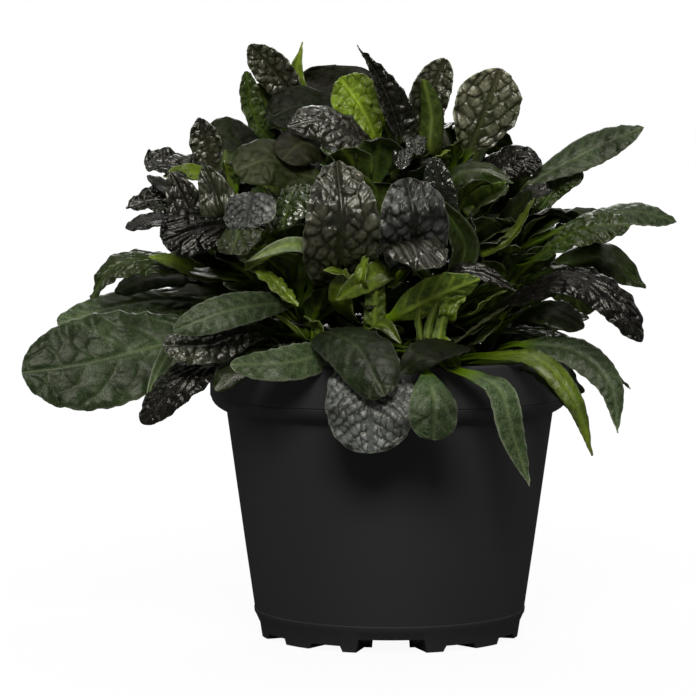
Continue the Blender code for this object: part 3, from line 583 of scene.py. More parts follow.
class BugleweedLeafSettings(bpy.types.PropertyGroup):
    thickness: length("Thickness", "Thickness of a blade", 0.00045)
    petiole_radius: length("Stalk radius", "Radius of a leaf stalk's gutter", 0.0015)
    relief: share_of_one("Relief", "How strongly the blades are quilted", 1.0, 3.0)
    wave: share_of_one("Wave", "How strongly the margins wave", 1.0, 3.0)
    fineness: share_of_one("Fineness", "How finely the large blades are meshed", 1.0, 2.0)
    bronze: colour("Bronze", "Dark bronze pigment", paint(22, 20, 10))
    warm_olive: colour("Warm olive", "Olive brown of turning leaves", paint(43, 39, 19))
    pewter: colour("Pewter", "Grey brown pigment of metallic leaves", paint(41, 39, 24))
    purple: colour("Purple", "Purple black pigment", paint(18, 13, 13))
    blue_black: colour("Blue black", "Blue black pigment of young leaves", paint(25, 28, 26))
    dark_green: colour("Dark green", "Green of shaded leaves", paint(19, 27, 6))
    mid_green: colour("Mid green", "Green of open leaves", paint(38, 53, 10))
    light_green: colour("Light green", "Green of the veins", paint(68, 86, 24))
    olive: colour("Olive", "Veins of bronze leaves", paint(44, 46, 22))
    pale_olive: colour("Pale olive", "Veins of olive leaves", paint(92, 94, 64))
    mauve_grey: colour("Mauve grey", "Veins of purple leaves", paint(46, 42, 38))
    sage_green: colour("Sage", "Grey green of downy leaves", paint(49, 68, 33))
    pale_sage: colour("Pale sage", "Veins of downy leaves", paint(119, 134, 88))
    silver_grey: colour("Silver grey", "Grey of metallic leaves", paint(76, 79, 75))
    deep_grey: colour("Deep grey", "Folds of metallic leaves", paint(24, 28, 20))
    leaf_yellow: colour("Yellow green", "Yellow green of young leaves", paint(97, 118, 19))
    lime: colour("Lime", "Veins of young leaves", paint(128, 146, 48))
    stalk: colour("Stalk", "Green of stalks and shoots", paint(80, 104, 12))
    dull_stalk: colour("Dull stalk", "Stalks of the darker leaves", paint(46, 62, 10))
    rim: colour("Rim", "Pale line along a margin", paint(146, 152, 128))
    # Painted sheen: the crest colours lighten the tops of the quilting in place of the gloss that
    # light gives them.
    crest_sheen: colour("Crest Sheen", "Tops of the quilting on dark leaves", paint(66, 66, 50))
    light_crest_sheen: colour("Light crest", "Tops of the quilting on pewter leaves",
                        paint(98, 98, 78))
    pale_crest_sheen: colour("Pale crest", "Tops of the quilting on silver leaves",
                       paint(112, 115, 112))
    down: colour("Down", "Pale hairs on the blades", paint(158, 168, 142))


class BugleweedStageSettings(bpy.types.PropertyGroup):
    camera_place: FloatVectorProperty(name="Camera place", description="Where the camera stands",
                                      default=(-0.0209, -1.40, 0.242), size=3, unit="LENGTH")
    camera_dip: FloatProperty(name="Camera dip", description="How far the camera looks down",
                              default=math.radians(4.05), subtype="ANGLE")
    lens: FloatProperty(name="Lens", description="Focal length on a 36 mm sensor, in millimetres",
                        default=144.83, min=10.0, max=500.0)
    key: FloatProperty(name="Key lamp", description="Power of the high front lamp, in watts",
                       default=27.0, min=0.0, max=1000.0, subtype="POWER")
    top: FloatProperty(name="Top lamp", description="Power of the overhead lamp, in watts",
                       default=5.0, min=0.0, max=1000.0, subtype="POWER")
    side: FloatProperty(name="Side lamps", description="Power of each side lamp, in watts",
                        default=3.0, min=0.0, max=1000.0, subtype="POWER")
    back: FloatProperty(name="Back lamp", description="Power of the lamp behind, in watts",
                        default=16.0, min=0.0, max=1000.0, subtype="POWER")
    air: share_of_one("Air", "Strength of the even light from all round", 0.09, 2.0)


# ---------------------------------------------------------------------------
# Shader helpers

NUMBER = "NodeSocketFloat"
TINT = "NodeSocketColor"


class Board:
    """Adds and links the nodes of one shader tree."""

    def __init__(self, tree):
        self.tree = tree

    def add(self, kind, **settings):
        node = self.tree.nodes.new(kind)
        for key, value in settings.items():
            setattr(node, key, value)
        return node

    def put(self, value, socket):
        if isinstance(value, bpy.types.NodeSocket):
            self.tree.links.new(value, socket)
        elif hasattr(value, "__len__") and len(value) == 3 and socket.type == "RGBA":
            socket.default_value = (*value, 1.0)
        else:
            socket.default_value = value

    def math(self, operation, first, second=None, third=None, clamp=False):
        node = self.add("ShaderNodeMath", operation=operation, use_clamp=clamp)
        for index, value in enumerate((first, second, third)):
            if value is not None:
                self.put(value, node.inputs[index])
        return node.outputs[0]

    def mix(self, factor, first, second, blend="MIX"):
        node = self.add("ShaderNodeMix", data_type="RGBA", blend_type=blend, clamp_factor=True)
        self.put(factor, node.inputs["Factor"])
        self.put(first, node.inputs[6])
        self.put(second, node.inputs[7])
        return node.outputs[2]

    def spread(self, value, low, high, new_low=0.0, new_high=1.0):
        node = self.add("ShaderNodeMapRange", clamp=True, interpolation_type="SMOOTHSTEP")
        for index, part in enumerate((value, low, high, new_low, new_high)):
            self.put(part, node.inputs[index])
        return node.outputs[0]

    def place(self):
        return self.add("ShaderNodeTexCoord").outputs["Object"]

    def stretch(self, vector, scale):
        node = self.add("ShaderNodeMapping")
        self.put(vector, node.inputs["Vector"])
        node.inputs["Scale"].default_value = scale
        return node.outputs[0]

    def noise(self, vector, scale, detail=2.0, roughness=0.5):
        node = self.add("ShaderNodeTexNoise")
        self.put(vector, node.inputs["Vector"])
        node.inputs["Scale"].default_value = scale
        node.inputs["Detail"].default_value = detail
        node.inputs["Roughness"].default_value = roughness
        return node.outputs["Fac"]

    def cells(self, vector, scale, feature="F1"):
        node = self.add("ShaderNodeTexVoronoi", feature=feature)
        self.put(vector, node.inputs["Vector"])
        node.inputs["Scale"].default_value = scale
        return node

    def reading(self, name):
        return self.add("ShaderNodeAttribute", attribute_name=name).outputs["Fac"]


def new_group(name, inputs, outputs):
    """Empty node group with named sockets, and its input and output nodes."""
    group = bpy.data.node_groups.new(name, "ShaderNodeTree")
    for label, kind, value in inputs:
        socket = group.interface.new_socket(name=label, in_out="INPUT", socket_type=kind)
        if kind == TINT:
            socket.default_value = (*value, 1.0)
        else:
            socket.default_value = value
    for label, kind in outputs:
        group.interface.new_socket(name=label, in_out="OUTPUT", socket_type=kind)
    board = Board(group)
    entry = board.add("NodeGroupInput")
    leave = board.add("NodeGroupOutput")
    return group, board, entry, leave


def built_once(kind, pattern):
    """Decorator that gives the material or group of a name, and builds it if it is new."""
    def decorate(build):
        def fetch(*values):
            name = pattern % values
            return getattr(bpy.data, kind).get(name) or build(name, *values)
        return fetch
    return decorate


@built_once("node_groups", "leaf_pattern")
def leaf_pattern(name):
    """Pigment, veins, margin, hairs and stalk of a blade from its attributes, with painted
    sheen on the crests of the quilting and painted shade in its folds.
    """
    grey = (0.1, 0.1, 0.1)
    group, board, entry, leave = new_group(
        name,
        (("Pigment", TINT, grey), ("Green", TINT, grey), ("Vein", TINT, grey),
         ("Stalk", TINT, grey), ("Rim", TINT, grey), ("Down", TINT, grey),
         ("Crest Sheen", TINT, grey), ("Crest Sheen Amount", NUMBER, 0.3),
         ("Vein Amount", NUMBER, 0.5), ("Fold Shade", NUMBER, 0.4), ("Rim Amount", NUMBER, 0.5),
         ("Down Amount", NUMBER, 0.2), ("Mottle", NUMBER, 0.6), ("Gloss Spread", NUMBER, 0.12),
         ("Mean Roughness", NUMBER, 0.4)),
        (("Colour", TINT), ("Roughness", NUMBER), ("Height", NUMBER)))
    ins = entry.outputs
    place = board.place()
    rib = board.reading("rib")
    net = board.reading("net")
    rim = board.reading("rim")
    along = board.reading("along")
    cell = board.reading("cell")
    crest_sheen = board.reading("crest_sheen")
    shade = board.reading("shade")
    flush = board.reading("flush")
    broad = board.noise(place, 55.0, 3.0, 0.55)
    fine = board.noise(place, 420.0, 4.0, 0.6)
    blotch = board.math("MULTIPLY", board.math("SUBTRACT", broad, 0.5), ins["Mottle"])
    patch = board.math("MULTIPLY", board.math("SUBTRACT", cell, 0.5), 0.35)
    cover = board.math("ADD", board.math("ADD", flush, board.math("MULTIPLY", blotch, 3.0)),
                       patch, clamp=True)
    face = board.mix(cover, ins["Green"], ins["Pigment"])
    grain = board.spread(fine, 0.25, 0.75, 0.60, 1.40)
    face = board.mix(1.0, face, grain, "MULTIPLY")
    # Painted sheen: the tops of the domes are lightened towards the crest colour.
    painted_sheen = board.math("MULTIPLY", board.spread(crest_sheen, 0.45, 1.0), ins["Crest Sheen Amount"])
    face = board.mix(board.math("MULTIPLY", painted_sheen, grain), face, ins["Crest Sheen"])
    # Painted shade: the folds between the cells are darkened almost to black.
    fold = board.math("MULTIPLY", net, ins["Fold Shade"])
    face = board.mix(fold, face, board.mix(1.0, face, (0.05, 0.06, 0.04), "MULTIPLY"))
    line = board.math("MULTIPLY", rib, ins["Vein Amount"])
    face = board.mix(line, face, ins["Vein"])
    hair = board.cells(place, 1150.0)
    dot = board.spread(hair.outputs["Distance"], 0.42, 0.16)
    thin = board.spread(board.noise(place, 160.0, 2.0), 0.30, 0.62, 0.25, 1.0)
    frost = board.spread(board.noise(place, 1050.0, 2.0, 0.7), 0.50, 0.66)
    dot = board.math("MAXIMUM", dot, board.math("MULTIPLY", frost, 0.45))
    face = board.mix(board.math("MULTIPLY", board.math("MULTIPLY", dot, thin),
                                ins["Down Amount"]), face, ins["Down"])
    edge = board.math("MULTIPLY", rim, ins["Rim Amount"])
    face = board.mix(edge, face, ins["Rim"])
    stalk = board.spread(along, 0.0, 0.16, 1.0, 0.0)
    face = board.mix(stalk, face, ins["Stalk"])
    board.put(board.mix(1.0, face, shade, "MULTIPLY"), leave.inputs["Colour"])
    wet = board.noise(place, 120.0, 3.0, 0.6)
    swing = board.math("MULTIPLY", board.math("SUBTRACT", wet, 0.5), ins["Gloss Spread"])
    rough = board.math("ADD", ins["Mean Roughness"], board.math("MULTIPLY", swing, 2.0))
    board.put(board.math("MAXIMUM", rough, 0.08), leave.inputs["Roughness"])
    skin = board.noise(place, 1500.0, 3.0, 0.65)
    vessel = board.cells(place, 620.0, "DISTANCE_TO_EDGE").outputs["Distance"]
    small = board.spread(vessel, 0.0, 0.16)
    height = board.math("ADD", board.math("MULTIPLY", skin, 0.40),
                        board.math("MULTIPLY", small, 0.25))
    board.put(height, leave.inputs["Height"])
    return group


@built_once("node_groups", "scuff_pattern")
def scuff_pattern(name):
    """Scuffs, dust and moulding grain of the plastic."""
    group, board, entry, leave = new_group(
        name,
        (("Plastic", TINT, (0.01, 0.01, 0.01)), ("Dust", TINT, (0.05, 0.05, 0.05)),
         ("Dust Amount", NUMBER, 0.25), ("Mean Roughness", NUMBER, 0.45)),
        (("Colour", TINT), ("Roughness", NUMBER), ("Height", NUMBER)))
    ins = entry.outputs
    place = board.place()
    streak = board.noise(board.stretch(place, (1.0, 1.0, 0.06)), 240.0, 4.0, 0.6)
    cloud = board.noise(place, 14.0, 4.0, 0.6)
    speck = board.noise(place, 900.0, 2.0, 0.7)
    dusty = board.math("MULTIPLY", board.spread(cloud, 0.40, 0.72), ins["Dust Amount"])
    dusty = board.math("ADD", dusty, board.math("MULTIPLY", board.spread(speck, 0.64, 0.74),
                                                0.16))
    dusty = board.math("ADD", dusty, board.math("MULTIPLY", board.spread(streak, 0.60, 0.78),
                                                0.20), clamp=True)
    board.put(board.mix(dusty, ins["Plastic"], ins["Dust"]), leave.inputs["Colour"])
    rough = board.math("ADD", ins["Mean Roughness"],
                       board.math("MULTIPLY", board.math("SUBTRACT", cloud, 0.5), 0.22))
    rough = board.math("ADD", rough,
                       board.math("MULTIPLY", board.math("SUBTRACT", streak, 0.5), 0.14),
                       clamp=True)
    board.put(rough, leave.inputs["Roughness"])
    grain = board.noise(place, 2200.0, 3.0, 0.6)
    board.put(board.math("ADD", board.math("MULTIPLY", grain, 0.6),
                         board.math("MULTIPLY", streak, 0.4)), leave.inputs["Height"])
    return group


def new_material(name):
    """Material with an empty board, its Principled shader and a Bump node that feeds it."""
    material = bpy.data.materials.new(name)
    material.use_nodes = True
    tree = material.node_tree
    shader = tree.nodes["Principled BSDF"]
    board = Board(tree)
    bump = board.add("ShaderNodeBump")
    tree.links.new(bump.outputs["Normal"], shader.inputs["Normal"])
    return material, board, shader, bump


def place_group(board, group, values, shader, bump):
    """Put a pattern group in a material and join it to the shader."""
    node = board.add("ShaderNodeGroup", node_tree=group)
    for label, value in values.items():
        board.put(value, node.inputs[label])
    board.put(node.outputs["Colour"], shader.inputs["Base Color"])
    board.put(node.outputs["Roughness"], shader.inputs["Roughness"])
    board.put(node.outputs["Height"], bump.inputs["Height"])
    return node


@built_once("materials", "blade_%s")
def blade_material(name, finish):
    """Upper face of a blade in one of the finishes."""
    tones = bpy.context.scene.bugleweed_leaf
    (_, pigment, green, vein, rough, coat, specular, hairs, margin, folds, lines, crest_sheens,
     _) = FINISHES[finish]
    material, board, shader, bump = new_material(name)
    place_group(board, leaf_pattern(), {
        "Pigment": getattr(tones, pigment), "Green": getattr(tones, green),
        "Vein": getattr(tones, vein),
        "Stalk": tones.stalk if finish in LIT_STALKS else tones.dull_stalk,
        "Rim": tones.rim, "Down": tones.down,
        # The crest colour is painted sheen on the dome tops; Fold Shade is painted shade in the
        # folds.
        "Crest Sheen": {"silver": tones.pale_crest_sheen,
                  "pewter": tones.light_crest_sheen}.get(finish, tones.crest_sheen),
        "Crest Sheen Amount": crest_sheens, "Vein Amount": lines, "Fold Shade": folds,
        "Rim Amount": margin, "Down Amount": hairs, "Mottle": 0.55, "Gloss Spread": 0.09,
        "Mean Roughness": rough}, shader, bump)
    shader.inputs["Coat Weight"].default_value = coat
    shader.inputs["Coat Roughness"].default_value = 0.22
    shader.inputs["Specular IOR Level"].default_value = specular
    shader.inputs["Specular Tint"].default_value = (1.0, 0.96, 0.84, 1.0)
    bump.inputs["Strength"].default_value = 0.40
    bump.inputs["Distance"].default_value = 0.00035
    return material


@built_once("materials", "underside_%s")
def underside_material(name, finish):
    """Paler, duller underside of a blade."""
    tones = bpy.context.scene.bugleweed_leaf
    material, board, shader, bump = new_material(name)
    dark = finish in DARK_BACKS
    place_group(board, leaf_pattern(), {
        "Pigment": tones.dark_green if dark else tones.mid_green,
        "Green": tones.mid_green if dark else tones.light_green,
        "Vein": tones.light_green if dark else tones.lime,
        "Stalk": tones.stalk, "Rim": tones.rim, "Down": tones.down,
        # Painted shade: a light darkening in the folds of the underside, and no painted sheen on
        # its crests.
        "Crest Sheen": tones.light_green, "Crest Sheen Amount": 0.0, "Vein Amount": 0.75,
        "Fold Shade": 0.15, "Rim Amount": 0.0, "Down Amount": 0.15, "Mottle": 0.4,
        "Gloss Spread": 0.1, "Mean Roughness": 0.5}, shader, bump)
    shader.inputs["Specular IOR Level"].default_value = 0.2
    bump.inputs["Strength"].default_value = 0.3
    bump.inputs["Distance"].default_value = 0.0003
    return material


@built_once("materials", "shoot_skin")
def stem_material(name):
    """Green square shoots, tinged with bronze and lightly ribbed."""
    tones = bpy.context.scene.bugleweed_leaf
    material, board, shader, bump = new_material(name)
    place = board.place()
    streak = board.noise(board.stretch(place, (1.0, 1.0, 0.12)), 900.0, 3.0, 0.6)
    cloud = board.noise(place, 60.0, 3.0, 0.6)
    green = board.mix(board.spread(streak, 0.3, 0.7), tones.stalk, tones.mid_green)
    tinged = board.mix(board.spread(cloud, 0.46, 0.66), green, tones.bronze)
    board.put(tinged, shader.inputs["Base Color"])
    board.put(board.spread(streak, 0.2, 0.8, 0.34, 0.52), shader.inputs["Roughness"])
    board.put(streak, bump.inputs["Height"])
    bump.inputs["Strength"].default_value = 0.4
    bump.inputs["Distance"].default_value = 0.0003
    shader.inputs["Coat Weight"].default_value = 0.2
    return material


@built_once("materials", "potting_mix")
def soil_material(name):
    """Damp dark peat with bark chips and pale fibres."""
    tones = bpy.context.scene.bugleweed_soil
    material, board, shader, bump = new_material(name)
    place = board.place()
    lump = board.noise(place, 170.0, 5.0, 0.65)
    chip = board.cells(place, 330.0)
    pale = board.spread(chip.outputs["Color"], 0.72, 0.80)
    base = board.mix(board.spread(lump, 0.35, 0.7), tones.mix, tones.mix * 2.0)
    board.put(board.mix(board.math("MULTIPLY", pale, 0.7), base, tones.bark),
              shader.inputs["Base Color"])
    board.put(board.spread(lump, 0.3, 0.7, 0.98, 0.72), shader.inputs["Roughness"])
    board.put(board.math("ADD", lump, board.math("MULTIPLY", chip.outputs["Distance"], 0.5)),
              bump.inputs["Height"])
    bump.inputs["Strength"].default_value = 0.8
    bump.inputs["Distance"].default_value = 0.0015
    return material


@built_once("materials", "pot_plastic")
def pot_material(name):
    """Moulded black plastic with faint scuffs and dust."""
    tones = bpy.context.scene.bugleweed_pot
    material, board, shader, bump = new_material(name)
    place_group(board, scuff_pattern(), {
        "Plastic": tones.plastic, "Dust": tones.dust, "Dust Amount": 0.14,
        "Mean Roughness": 0.56}, shader, bump)
    shader.inputs["Specular IOR Level"].default_value = 0.10
    bump.inputs["Strength"].default_value = 0.18
    bump.inputs["Distance"].default_value = 0.0002
    return material


# ---------------------------------------------------------------------------
# Shape helpers


def finish_piece(name, mesh, materials):
    """Smooth-shaded object at the origin, with its materials."""
    mesh.shade_smooth()
    item = bpy.data.objects.new(name, mesh)
    bpy.context.scene.collection.objects.link(item)
    for material in materials:
        mesh.materials.append(material)
    return item


def mesh_of(bm, name):
    """Mesh of a bmesh, doubles merged and faces outward."""
    bmesh.ops.remove_doubles(bm, verts=bm.verts, dist=0.000005)
    bmesh.ops.recalc_face_normals(bm, faces=bm.faces)
    mesh = bpy.data.meshes.new(name)
    bm.to_mesh(mesh)
    bm.free()
    return mesh


def turned(points, steps):
    """Closed body of a half section turned about the upright axis."""
    bm = bmesh.new()
    line = [bm.verts.new((radius, 0.0, height)) for radius, height in points]
    edges = [bm.edges.new(pair) for pair in zip(line, line[1:])]
    bmesh.ops.spin(bm, geom=line + edges, cent=(0.0, 0.0, 0.0), axis=(0.0, 0.0, 1.0),
                   angle=2.0 * math.pi, steps=steps, use_merge=True)
    bmesh.ops.remove_doubles(bm, verts=bm.verts, dist=0.00001)
    return bm


def ease(value, low, high):
    """Smooth step of an array from 0 at low to 1 at high."""
    part = np.clip((value - low) / (high - low), 0.0, 1.0)
    return part * part * (3.0 - 2.0 * part)


def dice(first, second, seed):
    """Seeded number from 0 to 1 for each pair of whole numbers."""
    wave = np.sin(first * 127.1 + second * 311.7 + seed * 74.7) * 43758.5453
    return wave - np.floor(wave)


def soft_noise(first, second, seed):
    """Smooth value noise from -1 to 1 over two coordinates."""
    ia = np.floor(first)
    ib = np.floor(second)
    fa = first - ia
    fb = second - ib
    fa = fa * fa * (3.0 - 2.0 * fa)
    fb = fb * fb * (3.0 - 2.0 * fb)
    low = dice(ia, ib, seed) * (1.0 - fa) + dice(ia + 1.0, ib, seed) * fa
    high = dice(ia, ib + 1.0, seed) * (1.0 - fa) + dice(ia + 1.0, ib + 1.0, seed) * fa
    return (low * (1.0 - fb) + high * fb) * 2.0 - 1.0


def spline_points(points, steps):
    """Points of a smooth curve through all the points."""
    points = np.asarray(points, dtype=float)
    spans = len(points) - 1
    first = points[0] * 2.0 - points[1]
    last = points[-1] * 2.0 - points[-2]
    padded = np.vstack((first, points, last))
    place = np.linspace(0.0, spans, steps * spans + 1)
    index = np.minimum(place.astype(int), spans - 1)
    t = (place - index)[:, None]
    p0, p1, p2, p3 = (padded[index + shift] for shift in range(4))
    return 0.5 * (p1 * 2.0 + (p2 - p0) * t + (p0 * 2.0 - p1 * 5.0 + p2 * 4.0 - p3) * t ** 2
                  + (p1 * 3.0 - p0 - p2 * 3.0 + p3) * t ** 3)


def unit(vectors):
    size = np.linalg.norm(vectors, axis=-1, keepdims=True)
    return vectors / np.maximum(size, 1e-9)


def on_shoot(name, height):
    """Share of a shoot's length at a height, and the shoot's place there."""
    foot_x, foot_y, top_x, top_y, top_z, _, _ = SHOOTS[name]
    share = (height - SOIL_TOP) / (top_z - SOIL_TOP)
    return share, np.array((foot_x + (top_x - foot_x) * share,
                            foot_y + (top_y - foot_y) * share))


def heading_of(angle):
    return np.array((math.cos(angle), math.sin(angle)))


def way_out(spot, end, heights):
    """Points of a midrib on the way from a shoot to its end, with their heights."""
    return tuple((*(spot + (end - spot) * part), height) for part, height in heights)


def leaf_base(shoot, height, toward):
    """Where a leaf stalk leaves its shoot, just under the shoot's skin."""
    foot_x, foot_y, top_x, top_y, top_z, foot_r, top_r = SHOOTS[shoot]
    foot = np.array((foot_x, foot_y, SOIL_TOP))
    top = np.array((top_x, top_y, top_z))
    along = unit(top - foot)
    share = (height - foot[2]) / (top[2] - foot[2])
    centre = foot + (top - foot) * share
    outward = np.asarray(toward, dtype=float) - centre
    outward = unit(outward - along * np.dot(outward, along))
    return centre + outward * (foot_r + (top_r - foot_r) * share - 0.7)


def half_width(share, width, outline, start, stalk):
    """Half the leaf's width at shares of its length: stalk, then blade."""
    place = np.clip((share - start) / (1.0 - start), 0.0, 1.0)
    rise, fall = OUTLINES[outline]
    peak = rise / (rise + fall)
    most = peak ** rise * (1.0 - peak) ** fall
    shape = place ** rise * (1.0 - place) ** fall / most
    half = width / 2.0 * shape + stalk * (1.0 - shape) * (1.0 - place) ** 1.5
    return np.maximum(half, TIP_HALF)


def cell_pattern(along, across, uneven, seed):
    """Nearness to the folds, dome and seeded number of jittered cells."""
    first = np.full(along.shape, 9.0)
    second = np.full(along.shape, 9.0)
    number = np.zeros(along.shape)
    lean = np.zeros(along.shape)
    row = np.floor(along)
    column = np.floor(across)
    for step_a in (-1.0, 0.0, 1.0):
        for step_b in (-1.0, 0.0, 1.0):
            cell_a = row + step_a
            cell_b = column + step_b
            middle_a = cell_a + 0.5 + (dice(cell_a, cell_b, seed) - 0.5) * uneven
            middle_b = cell_b + 0.5 + (dice(cell_b, cell_a, seed + 3.3) - 0.5) * uneven * 1.4
            gap = np.sqrt((along - middle_a) ** 2 + (across - middle_b) ** 2)
            near = gap < first
            second = np.where(near, first, np.minimum(second, gap))
            number = np.where(near, dice(cell_a, cell_b, seed + 9.1), number)
            lean = np.where(near, (along - middle_a) * (dice(cell_a, cell_b, seed + 5.7) - 0.5)
                            + (across - middle_b) * (dice(cell_a, cell_b, seed + 7.9) - 0.5),
                            lean)
            first = np.where(near, gap, first)
    gap = second - first
    border = np.clip(gap / 0.62, 0.0, 1.0)
    dome = 0.66 * (1.0 - (1.0 - np.clip(gap / 0.20, 0.0, 1.0)) ** 2.0) + 0.34 * border
    fold = 1.0 - ease(gap, 0.01, 0.135)
    return fold, dome, number, lean


def sheet_of(name, columns, rows):
    """Grid mesh from -1 to 1 and the places of its vertices."""
    bm = bmesh.new()
    bmesh.ops.create_grid(bm, x_segments=columns, y_segments=rows, size=1.0)
    mesh = bpy.data.meshes.new(name)
    bm.to_mesh(mesh)
    bm.free()
    found = np.empty(len(mesh.vertices) * 3, dtype=np.float32)
    mesh.vertices.foreach_get("co", found)
    found = found.reshape(-1, 3).astype(float)
    return mesh, -found[:, 0], (found[:, 1] + 1.0) / 2.0


def write_reading(mesh, name, values):
    layer = mesh.attributes.new(name, "FLOAT", "POINT")
    layer.data.foreach_set("value", np.asarray(values, dtype=np.float32))


def shape_leaf(row, columns, rows, seed):
    """One leaf: a grid bent along its midrib, gutter-shaped in the stalk and quilted
    in the blade, with a waved and toothed margin."""
    (name, shoot, height, route, width, roll_foot, roll_tip, cup, outline, finish, relief,
     shade, flush) = row
    settings = bpy.context.scene.bugleweed_leaf
    (vein_gap, cell_size, sweep, bend, dome_high, vein_deep, uneven, fine_high, wave_high,
     tooth_high, vein_half, _) = RELIEFS[relief]
    size = min(max(width / 26.0, 0.62), 1.15)
    if relief != "broad":
        vein_gap *= size
        cell_size *= size
    dome_high *= settings.relief * min(size, 1.05)
    vein_deep *= settings.relief * min(size, 1.05)
    wave_high *= settings.wave * size

    mesh, spot, part = sheet_of(name, columns, rows)
    start = LATE_BLADES.get(name, BLADE_START)
    stalk = WINGED_STALKS.get(name, PETIOLE_HALF)
    stalk_rows = 0.17 + (start - BLADE_START) * 0.4
    blade_part = np.clip((part - stalk_rows) / (1.0 - stalk_rows), 0.0, 1.0)
    place = 1.0 - (1.0 - blade_part) ** 1.30
    share = np.where(part < stalk_rows, part / stalk_rows * start,
                     start + (1.0 - start) * place)

    base = leaf_base(shoot, height, route[0])
    curve = spline_points(np.vstack((base, route)), 40)
    steps = np.linalg.norm(np.diff(curve, axis=0), axis=1)
    reach = np.concatenate(((0.0,), np.cumsum(steps)))
    leaf_length = reach[-1]
    reach /= leaf_length
    slope = unit(np.gradient(curve, axis=0))
    centre = np.stack([np.interp(share, reach, curve[:, axis]) for axis in range(3)], axis=1)
    direction = unit(np.stack([np.interp(share, reach, slope[:, axis]) for axis in range(3)],
                              axis=1))
    chord = curve[-1] - base
    level = unit(np.cross((0.0, 0.0, 1.0), (chord[0], chord[1], 0.0)))
    across = unit(level - direction * (direction @ level)[:, None])
    normal = np.cross(direction, across)
    roll = np.radians(roll_foot + (roll_tip - roll_foot) * share) * ease(share, 0.02, 0.26)
    roll += np.radians(5.0) * np.sin(share * 7.0 + seed) * ease(share, 0.3, 0.6)
    cosine = np.cos(roll)[:, None]
    sine = np.sin(roll)[:, None]
    across, normal = across * cosine + normal * sine, normal * cosine - across * sine

    # Margin: length along it, teeth and waves.
    shares = np.linspace(0.0, 1.0, 400)
    halves = half_width(shares, width, outline, start, stalk)
    run = np.concatenate(((0.0,), np.cumsum(np.hypot(np.diff(shares) * leaf_length,
                                                     np.diff(halves)))))
    margin = np.interp(share, shares, run)
    side = np.where(spot >= 0.0, 1.0, 2.0)
    blade = ease(share, start + 0.02, start + 0.20)
    half = half_width(share, width, outline, start, stalk)
    tooth = np.abs(np.sin(math.pi * margin / (2.5 * size) + side * 1.7 + seed)) ** 0.8 - 0.6
    lobe = np.sin(2.0 * math.pi * margin / (11.5 * size) + side * 2.9 + seed * 1.3)
    lobe += 0.7 * np.sin(2.0 * math.pi * margin / (6.1 * size) + side * 1.1 + seed * 2.3)
    tipward = 1.0 - ease(place, 0.965, 1.0) * 0.9
    half = half + (tooth * tooth_high * size + lobe * 0.006 * width) * blade * tipward
    x = half * spot
    y = (share - start) * leaf_length
    edge_gap = half * (1.0 - np.abs(spot))

    # Relief of the blade.
    out = np.abs(x)
    run_back = y - sweep * out - bend * out ** 2 + np.where(side > 1.5, 0.43 * vein_gap, 0.0)
    run_back += soft_noise(x / 9.0 + 7.0, y / 9.0, seed) * 0.22 * vein_gap * ease(out, 0.5, 3.0)
    a = run_back / (vein_gap * 1.3)
    steep = sweep + 2.0 * bend * out
    b = (np.log(steep / sweep) / (2.0 * bend) + y) / (cell_size * 1.5)
    b += 0.22 * soft_noise(y / 6.0, x / 6.0, seed + 2.0)
    fold, dome, number, lean = cell_pattern(a, b, uneven, seed + side * 13.0)
    _, dimple, _, _ = cell_pattern(a * 2.1 + 0.3, b * 2.1, 0.7, seed + side * 31.0)
    from_vein = np.abs(a - np.round(a)) * vein_gap * 1.3 / np.sqrt(1.0 + steep ** 2)
    vein = np.exp(-(from_vein / vein_half) ** 2)
    vein = vein * (1.0 - 0.45 * np.abs(spot))
    midrib = np.exp(-(x / (0.55 + 0.75 * (1.0 - place))) ** 2)
    hold = ease(share, start + 0.01, start + 0.14)
    rim_fade = 0.35 + 0.65 * ease(edge_gap, 0.0, 2.2 * size)
    rim_fade = rim_fade * (1.0 - 0.7 * ease(place, 0.97, 1.0))
    tilt = lean * 2.7 * np.clip(dome * 2.0, 0.0, 1.0)
    rise = (dome * (0.66 + 0.5 * number) + tilt) * dome_high
    rise += (dimple - 0.5) * fine_high * dome * settings.relief
    rise -= vein * vein_deep
    rise *= ease(out, 0.2, 2.4 * size) * rim_fade
    rise -= midrib * (0.35 + 0.65 * (1.0 - place)) * (0.55 + 0.35 * dome_high)
    swell = soft_noise(x / 17.0 + 3.0, y / 17.0 + seed, seed + 4.0) * 0.05 * width
    wave = (np.sin(2.0 * math.pi * margin / (13.0 * size) + side * 2.1 + seed * 2.0)
            + 0.45 * np.sin(2.0 * math.pi * margin / (6.4 * size) + side + seed * 3.1))
    wave = wave * wave_high * np.abs(spot) ** 2.6 * tipward
    bowl = cup * np.clip((share - 0.2) / 0.3, 0.0, 1.0) * half * spot ** 2
    crease = FOLDED.get(name, 0.0)
    bowl += crease * np.clip((share - 0.2) / 0.3, 0.0, 1.0) * half * np.abs(spot)
    z_blade = bowl + (rise + wave * blade + swell * np.abs(spot) * blade * 0.6) * hold

    # Gutter of the stalk.
    radius = settings.petiole_radius / MM * (1.0 + 0.7 * (1.0 - ease(share, 0.0, 0.07)))
    radius = radius * (0.86 + 0.14 * size) * (1.0 + 0.45 * (stalk / PETIOLE_HALF - 1.0))
    turn = spot * 2.15
    x_stalk = radius * np.sin(turn)
    z_stalk = radius * (1.0 - np.cos(turn)) - 0.6 * radius
    flat = ease(share, 0.20, start + 0.12)
    x_all = x_stalk * (1.0 - flat) + x * flat
    z_all = z_stalk * (1.0 - flat) + z_blade * flat
    points = centre + across * x_all[:, None] + normal * z_all[:, None]
    mesh.vertices.foreach_set("co", (points * MM).astype(np.float32).ravel())
    mesh.update()

